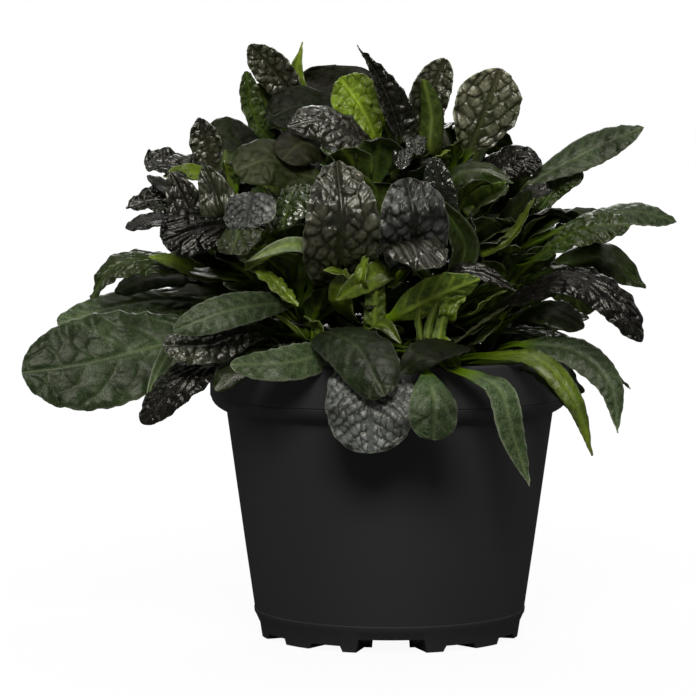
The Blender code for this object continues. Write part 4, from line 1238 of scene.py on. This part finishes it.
    write_reading(mesh, "rib", np.clip(np.maximum(midrib, vein * 0.8), 0.0, 1.0) * hold)
    # Nearness to the folds and veins, which the leaf material darkens as painted shade.
    write_reading(mesh, "net", np.clip(np.maximum(fold, vein * 0.9), 0.0, 1.0) * hold
                  * ease(out, 0.3, 1.5))
    write_reading(mesh, "rim", (1.0 - ease(edge_gap, 0.15, 0.75)) * blade)
    write_reading(mesh, "along", np.where(share < start, 0.0, place))
    write_reading(mesh, "cell", number)
    # Mask of the dome tops, where the leaf material paints sheen.
    write_reading(mesh, "crest_sheen", np.clip(dome * (0.7 + 0.3 * dimple), 0.0, 1.0) * hold
                  * ease(out, 0.4, 2.2 * size))
    # The shade drifts slowly across the blade: partly the leaf's own tone, partly painted sheen,
    # most on pewter, silver and sage blades.
    drift = 1.0 + FINISHES[finish][-1] * soft_noise(x / 13.0 + 11.0, y / 13.0, seed + 6.0)
    write_reading(mesh, "shade", shade * drift)
    write_reading(mesh, "flush", np.full(len(share), flush))
    corners = np.empty(len(mesh.loops), dtype=np.int32)
    mesh.loops.foreach_get("vertex_index", corners)
    chart = np.stack((x_all, share * leaf_length), axis=1) * 0.008 + 0.5
    mesh.uv_layers.new(name="UVMap").data.foreach_set(
        "uv", chart[corners].astype(np.float32).ravel())
    return mesh


def make_leaf(row, columns, rows, seed):
    """Leaf piece with its two faces, riding on the plant."""
    finish = row[9]
    mesh = shape_leaf(row, columns, rows, seed)
    item = finish_piece(row[0] + "_blade", mesh, (blade_material(finish),
                                                  underside_material(finish)))
    solid = item.modifiers.new("Blade thickness", "SOLIDIFY")
    solid.thickness = bpy.context.scene.bugleweed_leaf.thickness
    solid.offset = -1.0
    solid.use_even_offset = False
    solid.material_offset = 1
    solid.material_offset_rim = 0
    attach(item, "root")
    return item


def leaf_counts(row):
    """Columns and rows of a leaf's grid, finer for wide and quilted blades."""
    route = np.asarray(row[3], dtype=float)
    blade = np.sum(np.linalg.norm(np.diff(route, axis=0), axis=1)) + 14.0
    pitch = RELIEFS[row[10]][-1] / max(bpy.context.scene.bugleweed_leaf.fineness, 0.2)
    if route[-1, 1] > 60.0 or row[0].startswith("behind"):
        pitch *= 1.5
    columns = int(min(max(row[4] / pitch, 10), 80))
    rows = int(min(max(blade / pitch * 1.15, 20), 112))
    return columns, rows


# ---------------------------------------------------------------------------
# Pieces


class BUGLEWEED_OT_pot(bpy.types.Operator):
    """Build the nursery pot with its rolled lip, band, castellated feet and drain holes"""

    bl_idname = "bugleweed.pot"
    bl_label = "Nursery Pot"

    def profile(self, s):
        """Half section from the floor's middle underneath, round the wall and lip, to the
        floor's middle inside."""
        inner = s.lip_radius - s.wall
        rings = (0.0310, 0.0330, 0.0350, 0.0370, 0.0390, 0.0410)
        points = [(0.0, 0.0), (0.007, 0.0), (0.0076, FLOOR_UNDER), (0.024, FLOOR_UNDER)]
        points += [(radius, FLOOR_UNDER) for radius in rings]
        points += [(0.0455, FLOOR_UNDER), (0.0494, FLOOR_UNDER), (0.0500, 0.0), (0.0658, 0.0),
                   (0.0674, 0.0100), (0.0680, 0.0110), (0.0682, 0.0128), (0.0679, 0.0132),
                   (0.0722, 0.0430), (0.0772, 0.0790), (0.0817, 0.1116), (0.0826, 0.1122),
                   (0.0846, 0.1132), (0.0864, 0.1144), (0.0879, 0.1158), (0.0889, 0.1173),
                   (0.0895, 0.1189), (0.0893, 0.1194), (s.lip_radius, 0.1199),
                   (s.lip_radius, s.lip_top - 0.0012), (s.lip_radius - 0.0010, s.lip_top),
                   (inner + 0.0003, s.lip_top), (inner, s.lip_top - 0.0008), (inner, 0.1225),
                   (0.0820, 0.1195), (0.0800, 0.1120), (0.0753, 0.0790), (0.0703, 0.0430),
                   (0.0659, 0.0125), (0.0639, FLOOR_TOP), (0.0455, FLOOR_TOP)]
        points += [(radius, FLOOR_TOP) for radius in reversed(rings)]
        points += [(0.024, FLOOR_TOP), (0.0, FLOOR_TOP)]
        return points

    def lift_feet(self, bm, steps):
        """Raise the bottom ring between the feet: four wide channels, eight notches."""
        turn = 2.0 * math.pi / steps
        for vert in bm.verts:
            radius = math.hypot(vert.co.x, vert.co.y)
            if vert.co.z > 0.0005 or radius < 0.045:
                continue
            angle = math.atan2(vert.co.y, vert.co.x)
            pitch = math.radians(30.0)
            index = round(angle / pitch)
            gap = angle - index * pitch
            wide = index % 3 == 0
            half = math.radians((14.0 if radius > 0.057 else 10.2) if wide else 7.5)
            if abs(gap) > half:
                continue
            # The first step inside a notch stands close to its wall.
            if abs(gap) > half - turn * 0.98:
                shift = math.copysign(half + turn * 0.35 - abs(gap), gap)
                angle += shift * 0.55
                vert.co.x = radius * math.cos(angle)
                vert.co.y = radius * math.sin(angle)
            vert.co.z = 0.0064 if wide else 0.0028

    def open_drains(self, bm):
        """Open the drain holes through the floor and wall them."""
        for index in range(DRAINS):
            angle = math.radians(360.0 / DRAINS * (index + 0.5))
            middle = Vector((DRAIN_RING * math.cos(angle), DRAIN_RING * math.sin(angle)))
            gone = [face for face in bm.faces
                    if (face.calc_center_median().xy - middle).length < 0.0043
                    and 0.0060 < face.calc_center_median().z < 0.0105]
            bmesh.ops.delete(bm, geom=gone, context="FACES")
            loops = {}
            for edge in bm.edges:
                centre = (edge.verts[0].co + edge.verts[1].co) / 2.0
                if edge.is_boundary and (centre.xy - middle).length < 0.009:
                    loops.setdefault(centre.z > 0.0085, []).append(edge)
            for edges in loops.values():
                for vert in {vert for edge in edges for vert in edge.verts}:
                    away = vert.co.xy - middle
                    away = away.normalized() * DRAIN_RADIUS
                    vert.co.x = middle.x + away.x
                    vert.co.y = middle.y + away.y
            bmesh.ops.bridge_loops(bm, edges=[edge for edges in loops.values()
                                              for edge in edges])

    def execute(self, context):
        s = context.scene.bugleweed_pot
        bm = turned(self.profile(s), s.steps)
        bmesh.ops.recalc_face_normals(bm, faces=bm.faces)
        self.lift_feet(bm, s.steps)
        self.open_drains(bm)
        bmesh.ops.recalc_face_normals(bm, faces=bm.faces)
        mesh = mesh_of(bm, "nursery_pot")
        item = finish_piece("nursery_pot", mesh, (pot_material(),))
        mesh.set_sharp_from_angle(angle=math.radians(40.0))
        rounding = item.modifiers.new("Rounded edges", "BEVEL")
        rounding.width = s.round_over
        rounding.segments = 2
        rounding.limit_method = "ANGLE"
        rounding.angle_limit = math.radians(38.0)
        rounding.use_clamp_overlap = True
        rounding.harden_normals = False
        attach(item, "root")
        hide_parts("pot")
        return {"FINISHED"}


class BUGLEWEED_OT_soil(bpy.types.Operator):
    """Build the potting mix with its lumpy surface and loose crumbs"""

    bl_idname = "bugleweed.soil"
    bl_label = "Potting Mix"

    def execute(self, context):
        s = context.scene.bugleweed_soil
        body = ((0.0, 0.0098), (0.0635, 0.0098), (0.0656, 0.0128), (0.0796, 0.1120),
                (0.0816, 0.1198), (MIX_RADIUS, 0.1231), (MIX_RADIUS, 0.1245))
        top = [(MIX_RADIUS - MIX_RADIUS * step / 36.0,
                s.level - 0.0012 * (1.0 - step / 36.0) ** 3) for step in range(1, 37)]
        bm = turned(body + tuple(top), 120)
        for vert in bm.verts:
            radius = math.hypot(vert.co.x, vert.co.y)
            if vert.co.z > 0.1243 and radius < 0.0865:
                x, y = vert.co.x / MM, vert.co.y / MM
                lump = float(soft_noise(np.float64(x / 5.1), np.float64(y / 5.1), 2.0))
                lump += 0.6 * float(soft_noise(np.float64(x / 2.3), np.float64(y / 2.3), 5.0))
                vert.co.z += lump * s.lumps - s.lumps * 0.4
        rng = np.random.default_rng(17)
        for _ in range(s.crumbs):
            radius = 0.084 * math.sqrt(rng.random())
            angle = rng.random() * 2.0 * math.pi
            size = 0.0006 + 0.0019 * rng.random() ** 2
            made = bmesh.ops.create_icosphere(bm, subdivisions=1, radius=size)
            middle = Vector((radius * math.cos(angle), radius * math.sin(angle),
                             s.level + size * 0.3))
            long_way = 1.0 + 1.2 * rng.random()
            cosine, sine = math.cos(angle * 3.0), math.sin(angle * 3.0)
            for vert in made["verts"]:
                x, y, z = vert.co * (0.75 + 0.5 * rng.random())
                x *= long_way
                vert.co = middle + Vector((x * cosine - y * sine, x * sine + y * cosine, z * 0.7))
        item = finish_piece("potting_mix_body", mesh_of(bm, "potting_mix_body"),
                            (soil_material(),))
        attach(item, "root")
        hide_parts("soil")
        return {"FINISHED"}


class BUGLEWEED_OT_shoots(bpy.types.Operator):
    """Build the nine square-sided shoots, thickened where leaf pairs join"""

    bl_idname = "bugleweed.shoots"
    bl_label = "Shoots"

    def build(self, name, seed):
        foot_x, foot_y, top_x, top_y, top_z, foot_r, top_r = SHOOTS[name]
        foot = Vector((foot_x, foot_y, SOIL_TOP - 3.0))
        top = Vector((top_x, top_y, top_z))
        bm = bmesh.new()
        ring = bmesh.ops.create_circle(bm, cap_ends=True, segments=20, radius=1.0)["verts"]
        home = [vert.co.copy() for vert in ring]
        rings = [(ring, 0.0)]
        face = list(bm.faces)[0]
        for step in range(1, SHOOT_RINGS + 1):
            made = bmesh.ops.extrude_discrete_faces(bm, faces=[face])
            face = made["faces"][0]
            rings.append((list(face.verts), step / SHOOT_RINGS))
        for verts, share in rings:
            centre = foot.lerp(top, share)
            pair = (centre.z - SOIL_TOP) / NODE_GAP
            node = math.exp(-((pair - round(pair)) * NODE_GAP / 2.4) ** 2)
            radius = foot_r + (top_r - foot_r) * share
            radius *= 0.88 + 0.26 * node
            radius *= 1.0 if share < 0.985 else 0.55
            for vert, start in zip(verts, home):
                angle = math.atan2(start.y, start.x)
                square = 1.0 / max(abs(math.cos(angle)), abs(math.sin(angle)))
                reach = radius * (0.80 + 0.20 * square)
                twist = angle + share * 0.7 + seed
                vert.co = centre + Vector((math.cos(twist), math.sin(twist), 0.0)) * reach
        bmesh.ops.scale(bm, vec=(MM, MM, MM), verts=bm.verts)
        item = finish_piece("shoot_stem_" + name, mesh_of(bm, name), (stem_material(),))
        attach(item, "root")
        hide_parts("shoot_" + name)

    def execute(self, context):
        for seed, name in enumerate(SHOOTS):
            self.build(name, seed * 0.37)
        return {"FINISHED"}


class BUGLEWEED_OT_leaves(bpy.types.Operator):
    """Build the forty-nine large leaves that stand for the CAD model's blades"""

    bl_idname = "bugleweed.leaves"
    bl_label = "Large Leaves"

    def execute(self, context):
        for index, row in enumerate(LEAVES):
            columns, rows = leaf_counts(row)
            item = make_leaf(row, columns, rows, 1.7 + index * 2.31)
            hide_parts(row[0])
        return {"FINISHED"}


class BUGLEWEED_OT_lesser_leaves(bpy.types.Operator):
    """Build the lesser leaves that fill the outline between the large ones"""

    bl_idname = "bugleweed.lesser_leaves"
    bl_label = "Lesser Leaves"

    def execute(self, context):
        for index, row in enumerate(LESSER):
            columns, rows = leaf_counts(row)
            make_leaf(row, columns, rows, 201.3 + index * 3.17)
        return {"FINISHED"}


class BUGLEWEED_OT_inner_leaves(bpy.types.Operator):
    """Fill the inside and the back of the mound with leaf pairs on every shoot"""

    bl_idname = "bugleweed.inner_leaves"
    bl_label = "Inner Leaves"

    def rows(self):
        """Leaf pairs up every shoot, each pair at a right angle to the last."""
        rng = np.random.default_rng(5)
        kinds = (("green", "veined"), ("bronze", "puckered"), ("green", "smooth"),
                 ("sage", "veined"), ("bronze", "quilted"), ("purple", "ribbed"),
                 ("bright", "puckered"), ("olive", "puckered"))
        odds = np.array((0.22, 0.2, 0.16, 0.1, 0.12, 0.08, 0.04, 0.08))
        found = []
        for order, name in enumerate(SHOOTS):
            height = FIRST_PAIR
            pair = 0
            while height < SHOOTS[name][4] - 6.0:
                share, spot = on_shoot(name, height)
                for half in (0.0, 180.0):
                    azimuth = 25.0 * order + 90.0 * pair + half + rng.uniform(-20.0, 20.0)
                    long_way = (62.0 - 30.0 * share) * rng.uniform(0.8, 1.15)
                    lift = 0.75 + 0.6 * share + rng.uniform(-0.15, 0.15)
                    heading = heading_of(math.radians(azimuth))
                    width = (20.0 - 5.0 * share) * rng.uniform(0.8, 1.15)
                    kind = kinds[rng.choice(len(kinds), p=odds)]
                    shade = rng.uniform(0.9, 1.4)
                    droop = rng.uniform(0.10, 0.35)
                    tip = spot + heading * long_way
                    outside = math.hypot(tip[0], tip[1])
                    if tip[1] < -18.0 or heading[1] < -0.35:
                        if outside > 52.0 or height > 190.0:
                            long_way *= 0.62
                            width *= 0.75
                    tip = spot + heading * long_way
                    if tip[1] < -58.0 or abs(tip[0]) > 118.0 or (tip[0] > 78.0 and share > 0.7):
                        continue
                    route = way_out(spot, tip, [
                        (part, height + 3.0 + long_way * (lift * part * 0.62 - droop * part ** 3))
                        for part in (0.34, 0.68, 1.0)])
                    if route[-1][2] > 268.0:
                        continue
                    found.append(("inner_%03d" % len(found), name, height, route, width,
                                  rng.uniform(-20, 20), rng.uniform(-25, 25),
                                  rng.uniform(-0.15, 0.25),
                                  ("round", "oval", "lance")[rng.integers(3)],
                                  kind[0], kind[1], shade, rng.uniform(0.2, 0.9)))
                height += PAIR_GAP
                pair += 1
        return found

    def nearest_shoot(self, height, place):
        """Shoot that stands nearest to a place at a height, and where it is there."""
        best = None
        for name in SHOOTS:
            share, spot = on_shoot(name, height)
            if share > 0.97:
                continue
            gap = np.linalg.norm(spot - place)
            if best is None or gap < best[0]:
                best = (gap, name, spot)
        return best[1], best[2]

    def back_rows(self):
        """Large leaves of the unseen half: hanging, level and upright tiers."""
        rng = np.random.default_rng(23)
        kinds = (("bronze", "quilted"), ("green", "veined"), ("sage", "veined"),
                 ("bronze", "puckered"), ("purple", "ribbed"), ("silver", "squared"),
                 ("green", "puckered"), ("olive", "quilted"), ("bright", "smooth"))
        tiers = (
            # tier, azimuths, start radius, reach, height, rise, drop, width
            ("low", (8, 30, 52, 72, 90, 108, 128, 150, 170), 26, 94, 138, 20, 40, 27),
            ("mid", (2, 22, 44, 64, 84, 104, 122, 142, 162), 30, 84, 178, 26, 6, 25),
            ("top", (40, 58, 76, 98, 124, 150), 30, 46, 208, 40, -4, 22),
        )
        found = []
        for tier, azimuths, start, reach, height, rise, drop, width in tiers:
            for azimuth in azimuths:
                angle = math.radians(azimuth + rng.uniform(-5.0, 5.0))
                heading = heading_of(angle)
                name, spot = self.nearest_shoot(height, heading * start)
                long_way = reach * rng.uniform(0.88, 1.08)
                end = heading * min(start + long_way, 128.0 - 10.0 * abs(heading[0]))
                up = rise * rng.uniform(0.8, 1.25)
                down = drop * rng.uniform(0.7, 1.3)
                route = way_out(spot, end, [
                    (part, height + 4.0 + up * lift - down * part ** 3)
                    for part, lift in ((0.36, 0.62), (0.70, 1.0), (1.0, 0.72))])
                kind = kinds[rng.integers(len(kinds))]
                roll = rng.uniform(-16.0, 16.0)
                found.append(("back_%s_%02d" % (tier, len(found)), name, height, route,
                              width * rng.uniform(0.85, 1.2), roll, roll * 1.4,
                              rng.uniform(-0.22, 0.0), ("round", "oval")[rng.integers(2)],
                              kind[0], kind[1], rng.uniform(0.8, 1.1), rng.uniform(0.2, 0.9)))
        return found

    def core(self):
        """Broad dark leaves round the shoots, in tiers, that close the mound's inside."""
        rng = np.random.default_rng(41)
        kinds = (("green", "smooth"), ("green", "veined"), ("bronze", "puckered"),
                 ("purple", "ribbed"))
        found = []
        tiers = ((134, 10, 40, 18, 12, 0), (150, 12, 42, 26, 13, 0), (170, 14, 38, 30, 13, 0),
                 (192, 14, 32, 32, 11, 0), (212, 12, 24, 30, 9, 0), (146, 2, 34, 24, 8, 1),
                 (164, 2, 32, 24, 8, 1), (182, 2, 28, 24, 7, 1), (146, 2, 34, 24, 8, 2),
                 (164, 2, 34, 24, 8, 2), (182, 2, 28, 22, 7, 2))
        middles = ((-4.0, 4.0), (-58.0, 2.0), (54.0, -4.0))
        for tier, (height, start, reach, rise, count, where) in enumerate(tiers):
            centre = np.array(middles[where])
            for index in range(count):
                azimuth = math.radians(360.0 * (index + 0.5 * (tier % 2)) / count
                                       + rng.uniform(-9.0, 9.0))
                heading = np.array((math.cos(azimuth), 0.82 * math.sin(azimuth)))
                name, spot = self.nearest_shoot(height, centre + heading * (start + 14.0))
                long_way = reach * rng.uniform(0.85, 1.15)
                end = spot + heading * long_way
                if end[1] < -46.0:
                    end = spot + heading * long_way * 0.6
                up = rise * rng.uniform(0.8, 1.2)
                route = way_out(spot, end, [
                    (part, height + 3.0 + up * lift)
                    for part, lift in ((0.34, 0.45), (0.70, 0.85), (1.0, 1.0))])
                kind = kinds[rng.choice(4, p=(0.4, 0.3, 0.15, 0.15))]
                found.append(("core_%d_%02d" % (tier, index), name, height, route,
                              rng.uniform(22.0, 30.0), rng.uniform(-15, 15),
                              rng.uniform(-25, 25), rng.uniform(-0.2, 0.1),
                              ("round", "oval")[rng.integers(2)], kind[0], kind[1],
                              rng.uniform(0.9, 1.5), rng.uniform(0.1, 0.6)))
        return found

    def tips(self):
        """Young folded leaves at the top of each shoot."""
        found = []
        for order, (name, sizes) in enumerate(SHOOTS.items()):
            top, top_z = np.array(sizes[2:4]), sizes[4]
            for half in range(4):
                heading = heading_of(math.radians(40.0 * order + 90.0 * half))
                reach = 7.0 if half % 2 else 10.0
                lift = 13.0 if half % 2 else 9.0
                route = way_out(top, top + heading * reach, [
                    (part, top_z - 1.0 + lift * part) for part in (0.35, 0.7, 1.0)])
                found.append(("tip_%s_%d" % (name, half), name, top_z - 5.0, route, 7.5, 0, 0,
                              0.5, "oval", "green" if half % 2 else "bronze", "puckered", 1.0,
                              0.5))
        return found

    def execute(self, context):
        # rows of leaves, columns and rows of their grids, first seed, step of the seed
        for found, columns, rows, seed, step in (
                (self.back_rows(), 24, 36, 401.1, 2.77), (self.core(), 10, 13, 501.1, 2.11),
                (self.rows(), 12, 16, 601.9, 1.93), (self.tips(), 8, 12, 901.9, 1.31)):
            for index, row in enumerate(found):
                make_leaf(row, columns, rows, seed + index * step)
        return {"FINISHED"}


class BUGLEWEED_OT_stage(bpy.types.Operator):
    """Set the white floor, the soft lamps and the camera"""

    bl_idname = "bugleweed.stage"
    bl_label = "Stage"

    def lamp(self, name, place, toward, size, power):
        data = bpy.data.lights.new(name, "AREA")
        data.shape = "RECTANGLE"
        data.size, data.size_y = size
        data.energy = power
        item = bpy.data.objects.new(name, data)
        item.location = place
        item.rotation_euler = (Vector(toward) - Vector(place)).to_track_quat("-Z", "Y").to_euler()
        bpy.context.scene.collection.objects.link(item)
        return item

    def floor(self, context):
        """White floor that looks evenly lit to the camera and dim in reflections."""
        bm = bmesh.new()
        bmesh.ops.create_grid(bm, x_segments=2, y_segments=2, size=30.0)
        mesh = bpy.data.meshes.new("floor")
        bm.to_mesh(mesh)
        bm.free()
        floor = bpy.data.objects.new("floor", mesh)
        floor.location = (0.0, 0.0, -0.0004)
        context.scene.collection.objects.link(floor)
        material = bpy.data.materials.new("white_floor")
        material.use_nodes = True
        tree = material.node_tree
        board = Board(tree)
        shader = tree.nodes["Principled BSDF"]
        path = board.add("ShaderNodeLightPath")
        board.put(board.mix(path.outputs["Is Glossy Ray"], (0.34, 0.34, 0.34),
                            (0.10, 0.10, 0.10)), shader.inputs["Base Color"])
        shader.inputs["Roughness"].default_value = 0.9
        shader.inputs["Specular IOR Level"].default_value = 0.0
        glow = board.add("ShaderNodeEmission")
        glow.inputs["Color"].default_value = (1.0, 1.0, 1.0, 1.0)
        place = board.add("ShaderNodeTexCoord").outputs["Object"]
        away = board.add("ShaderNodeVectorMath", operation="LENGTH")
        board.put(place, away.inputs[0])
        board.put(board.spread(away.outputs["Value"], 0.6, 2.4, 1.17, 1.28),
                  glow.inputs["Strength"])
        blend = board.add("ShaderNodeMixShader")
        board.put(board.math("MULTIPLY", path.outputs["Is Camera Ray"], 0.80), blend.inputs[0])
        tree.links.new(shader.outputs[0], blend.inputs[1])
        tree.links.new(glow.outputs[0], blend.inputs[2])
        tree.links.new(blend.outputs[0], tree.nodes["Material Output"].inputs["Surface"])
        mesh.materials.append(material)

    def air(self, context, strength):
        """Even light from all round, white to the camera and weaker in reflections."""
        world = context.scene.world or bpy.data.worlds.new("air")
        context.scene.world = world
        world.use_nodes = True
        tree = world.node_tree
        tree.nodes.clear()
        board = Board(tree)
        air = board.add("ShaderNodeBackground")
        air.inputs["Color"].default_value = (1.0, 1.0, 1.0, 1.0)
        path = board.add("ShaderNodeLightPath")
        lit = board.math("MULTIPLY_ADD", path.outputs["Is Glossy Ray"],
                         -0.75 * strength, strength)
        board.put(board.math("MAXIMUM", path.outputs["Is Camera Ray"], lit),
                  air.inputs["Strength"])
        leave = board.add("ShaderNodeOutputWorld")
        tree.links.new(air.outputs[0], leave.inputs["Surface"])

    def execute(self, context):
        s = context.scene.bugleweed_stage
        self.floor(context)
        self.air(context, s.air)
        aim = (0.0, 0.0, 0.16)
        self.lamp("key_lamp", (-0.06, -1.60, 1.35), aim, (0.85, 0.65), s.key)
        self.lamp("top_lamp", (0.0, 0.15, 1.55), aim, (1.2, 1.2), s.top)
        self.lamp("left_lamp", (-1.5, 0.45, 0.9), aim, (0.8, 1.0), s.side)
        self.lamp("right_lamp", (1.5, 0.45, 0.9), aim, (0.8, 1.0), s.side)
        self.lamp("back_lamp", (0.0, 1.6, 1.1), aim, (1.1, 0.8), s.back)

        data = bpy.data.cameras.new("camera")
        data.sensor_width = 36.0
        data.lens = s.lens
        data.clip_end = 50.0
        camera = bpy.data.objects.new("camera", data)
        camera.location = s.camera_place
        camera.rotation_euler = (math.pi / 2.0 - s.camera_dip, 0.0, 0.0)
        context.scene.collection.objects.link(camera)
        context.scene.camera = camera
        context.scene.view_settings.view_transform = "Standard"
        return {"FINISHED"}


class BUGLEWEED_PT_panel(bpy.types.Panel):
    """Lists the pieces of the potted bugleweed"""

    bl_label = "Potted Bugleweed"
    bl_idname = "BUGLEWEED_PT_panel"
    bl_space_type = "VIEW_3D"
    bl_region_type = "UI"
    bl_category = "Bugleweed"

    def draw(self, context):
        layout = self.layout
        for operator in OPERATORS:
            layout.operator(operator.bl_idname)
        for title, name in (("Pot", "bugleweed_pot"), ("Potting mix", "bugleweed_soil"),
                            ("Leaves", "bugleweed_leaf"), ("Stage", "bugleweed_stage")):
            box = layout.box()
            box.label(text=title)
            settings = getattr(context.scene, name)
            for key in settings.__annotations__:
                box.prop(settings, key)


OPERATORS = (
    BUGLEWEED_OT_pot,
    BUGLEWEED_OT_soil,
    BUGLEWEED_OT_shoots,
    BUGLEWEED_OT_leaves,
    BUGLEWEED_OT_lesser_leaves,
    BUGLEWEED_OT_inner_leaves,
    BUGLEWEED_OT_stage,
)
SETTINGS = (
    (BugleweedPotSettings, "bugleweed_pot"),
    (BugleweedSoilSettings, "bugleweed_soil"),
    (BugleweedLeafSettings, "bugleweed_leaf"),
    (BugleweedStageSettings, "bugleweed_stage"),
)


def register():
    for group, name in SETTINGS:
        bpy.utils.register_class(group)
        setattr(bpy.types.Scene, name, PointerProperty(type=group))
    for operator in OPERATORS:
        bpy.utils.register_class(operator)
    bpy.utils.register_class(BUGLEWEED_PT_panel)


def unregister():
    bpy.utils.unregister_class(BUGLEWEED_PT_panel)
    for operator in reversed(OPERATORS):
        bpy.utils.unregister_class(operator)
    for group, name in reversed(SETTINGS):
        delattr(bpy.types.Scene, name)
        bpy.utils.unregister_class(group)


def main():
    register()
    bpy.ops.bugleweed.pot()
    bpy.ops.bugleweed.soil()
    bpy.ops.bugleweed.shoots()
    bpy.ops.bugleweed.leaves()
    bpy.ops.bugleweed.lesser_leaves()
    bpy.ops.bugleweed.inner_leaves()
    bpy.ops.bugleweed.stage()


if __name__ == "__main__":
    main()
